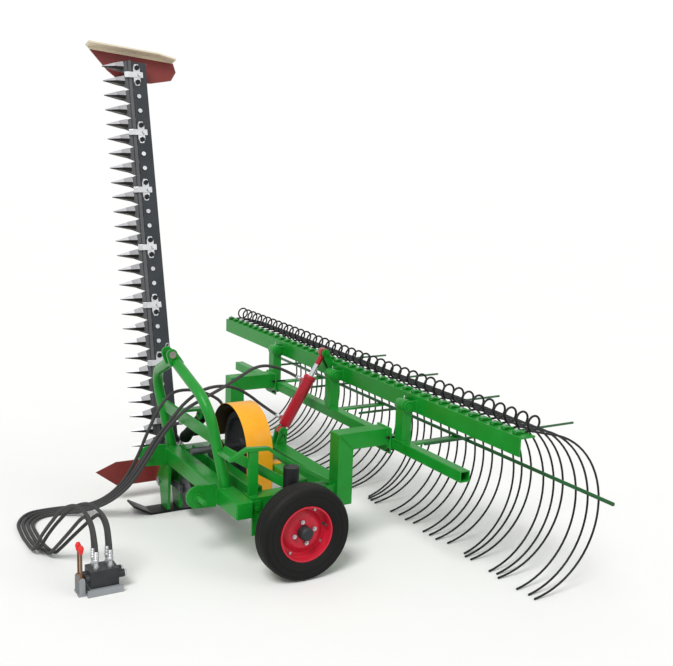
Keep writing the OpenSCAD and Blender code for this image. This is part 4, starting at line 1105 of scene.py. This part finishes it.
@dataclass
class SmallFittings:
    """Retaining clip, grease nipples, spool caps and the tyre's valve stem.

    The turned ones are rows of (along, radius), and the clip's wire is points round its pin.
    """

    nipple: tuple = (
        (0, 5), (3, 5), (3.1, 3.2), (8, 3.2), (8.1, 2.4), (10, 3.3), (12, 3.3), (14, 1.8),
        (14.1, 0.2),
    )
    hub_seat: tuple = (550.0, 735.0)
    bearings: tuple = ((0, -110, 448), (0, 120, 448))
    cap: tuple = ((0.1, 15), (6, 15), (8, 14), (9.5, 11), (9.6, 0.2))
    spools: tuple = ((452, -722, 68), (408, -722, 68))
    stem: tuple = (
        (0.1, 7.5), (3, 7), (5, 4.4), (22, 3.6), (22.1, 4.4), (29, 4.4), (30, 3.4), (30.1, 0.2),
    )
    stem_seat: tuple = (686, 103.4, 231.7)
    wire: tuple = (
        (0, 0, -28), (0, 0, -10), (0, 0, 10), (0, 0, 24), (0, 5, 35), (0, 13, 36), (0, 17, 28),
        (0, 12.6, 16), (0, 13.6, 0), (0, 11.8, -14), (0, 14, -24),
    )
    wire_radius: float = 1.8
    pin: tuple = (-52.0, -353.8, 896.3)

    def build(self) -> None:
        """Makes each small piece and seats it."""
        hubs = [(x, *self.hub_seat) for x in UPRIGHTS]
        for name, profile, seats, axis, sides in (
            ("grease_nipples", self.nipple, [*hubs, *self.bearings], (0, 0, 1), 12),
            ("spool_caps", self.cap, self.spools, (0, 1, 0), 24),
        ):
            turned = [lathe(profile, row(seat), axis, sides) for seat in seats]
            piece(name, turned, Finishes.ZINC, Body.FRAME, smooth=False)
        stem = lathe(self.stem, row(self.stem_seat), (1, 0, 0), 16)
        piece("valve_stem", [stem], Finishes.HOSE, Body.WHEEL, smooth=False)
        curve = spline(np.array(self.wire, float), 8) + np.array(self.pin)
        clip = sweep(row(curve), self.wire_radius * MM, 10)
        piece("top_pin_clip", [clip], Finishes.ZINC, Body.FRAME)


# Carried-over solids

# Rolled corners of tubes and castings, in millimetres, where they are larger than the usual round
WIDE_ROUND = {
    "front_beam": 6.0, "rear_beam": 4.0, "side_rails": 6.0, "drive_bridges": 5.0, "goosenecks": 5.0,
    "rake_carrier": 4.0, "knife_guards": 2.0, "valve_body": 4.0,
}


@dataclass
class Solids:
    """The CAD nodes that keep their shape: finish, and a small round on their edges."""

    round_mm: float = 1.5
    segments: int = 2
    sharp: float = math.radians(40)
    merge: float = 1e-5
    replaced: tuple = (Finishes.TYRE, Finishes.SPRING, Finishes.HOSE)

    def dress(self) -> None:
        """Gives every node its finish, and rounds the edges of those that are seen."""
        for finish, names in NODE_FINISH.items():
            for name in names.split():
                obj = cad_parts[name]
                obj.data.materials.clear()
                obj.data.materials.append(finish.material())
                if finish in self.replaced:
                    continue
                weld = obj.modifiers.new("weld", "WELD")
                weld.merge_threshold = self.merge
                bevel = obj.modifiers.new("edge_round", "BEVEL")
                bevel.width = WIDE_ROUND.get(name, self.round_mm) * MM
                bevel.segments = self.segments
                bevel.limit_method = "ANGLE"
                bevel.angle_limit = self.sharp
                bevel.harden_normals = False
                LOG.info("%s: %s", name, finish.name)


def main() -> None:
    """Builds the studio, the hoses and each sub-assembly in order."""
    logging.basicConfig(level=logging.INFO)
    studio = Studio()
    studio.camera()
    HoseSet().build()
    studio.floor()
    studio.light()
    Solids().dress()
    TineSet().build()
    Tyre().build()
    GuardNoses().build()
    ClipPlates().build()
    Welds().build()
    CarrierClamps().build()
    SmallFittings().build()


if __name__ == "__main__":
    main()
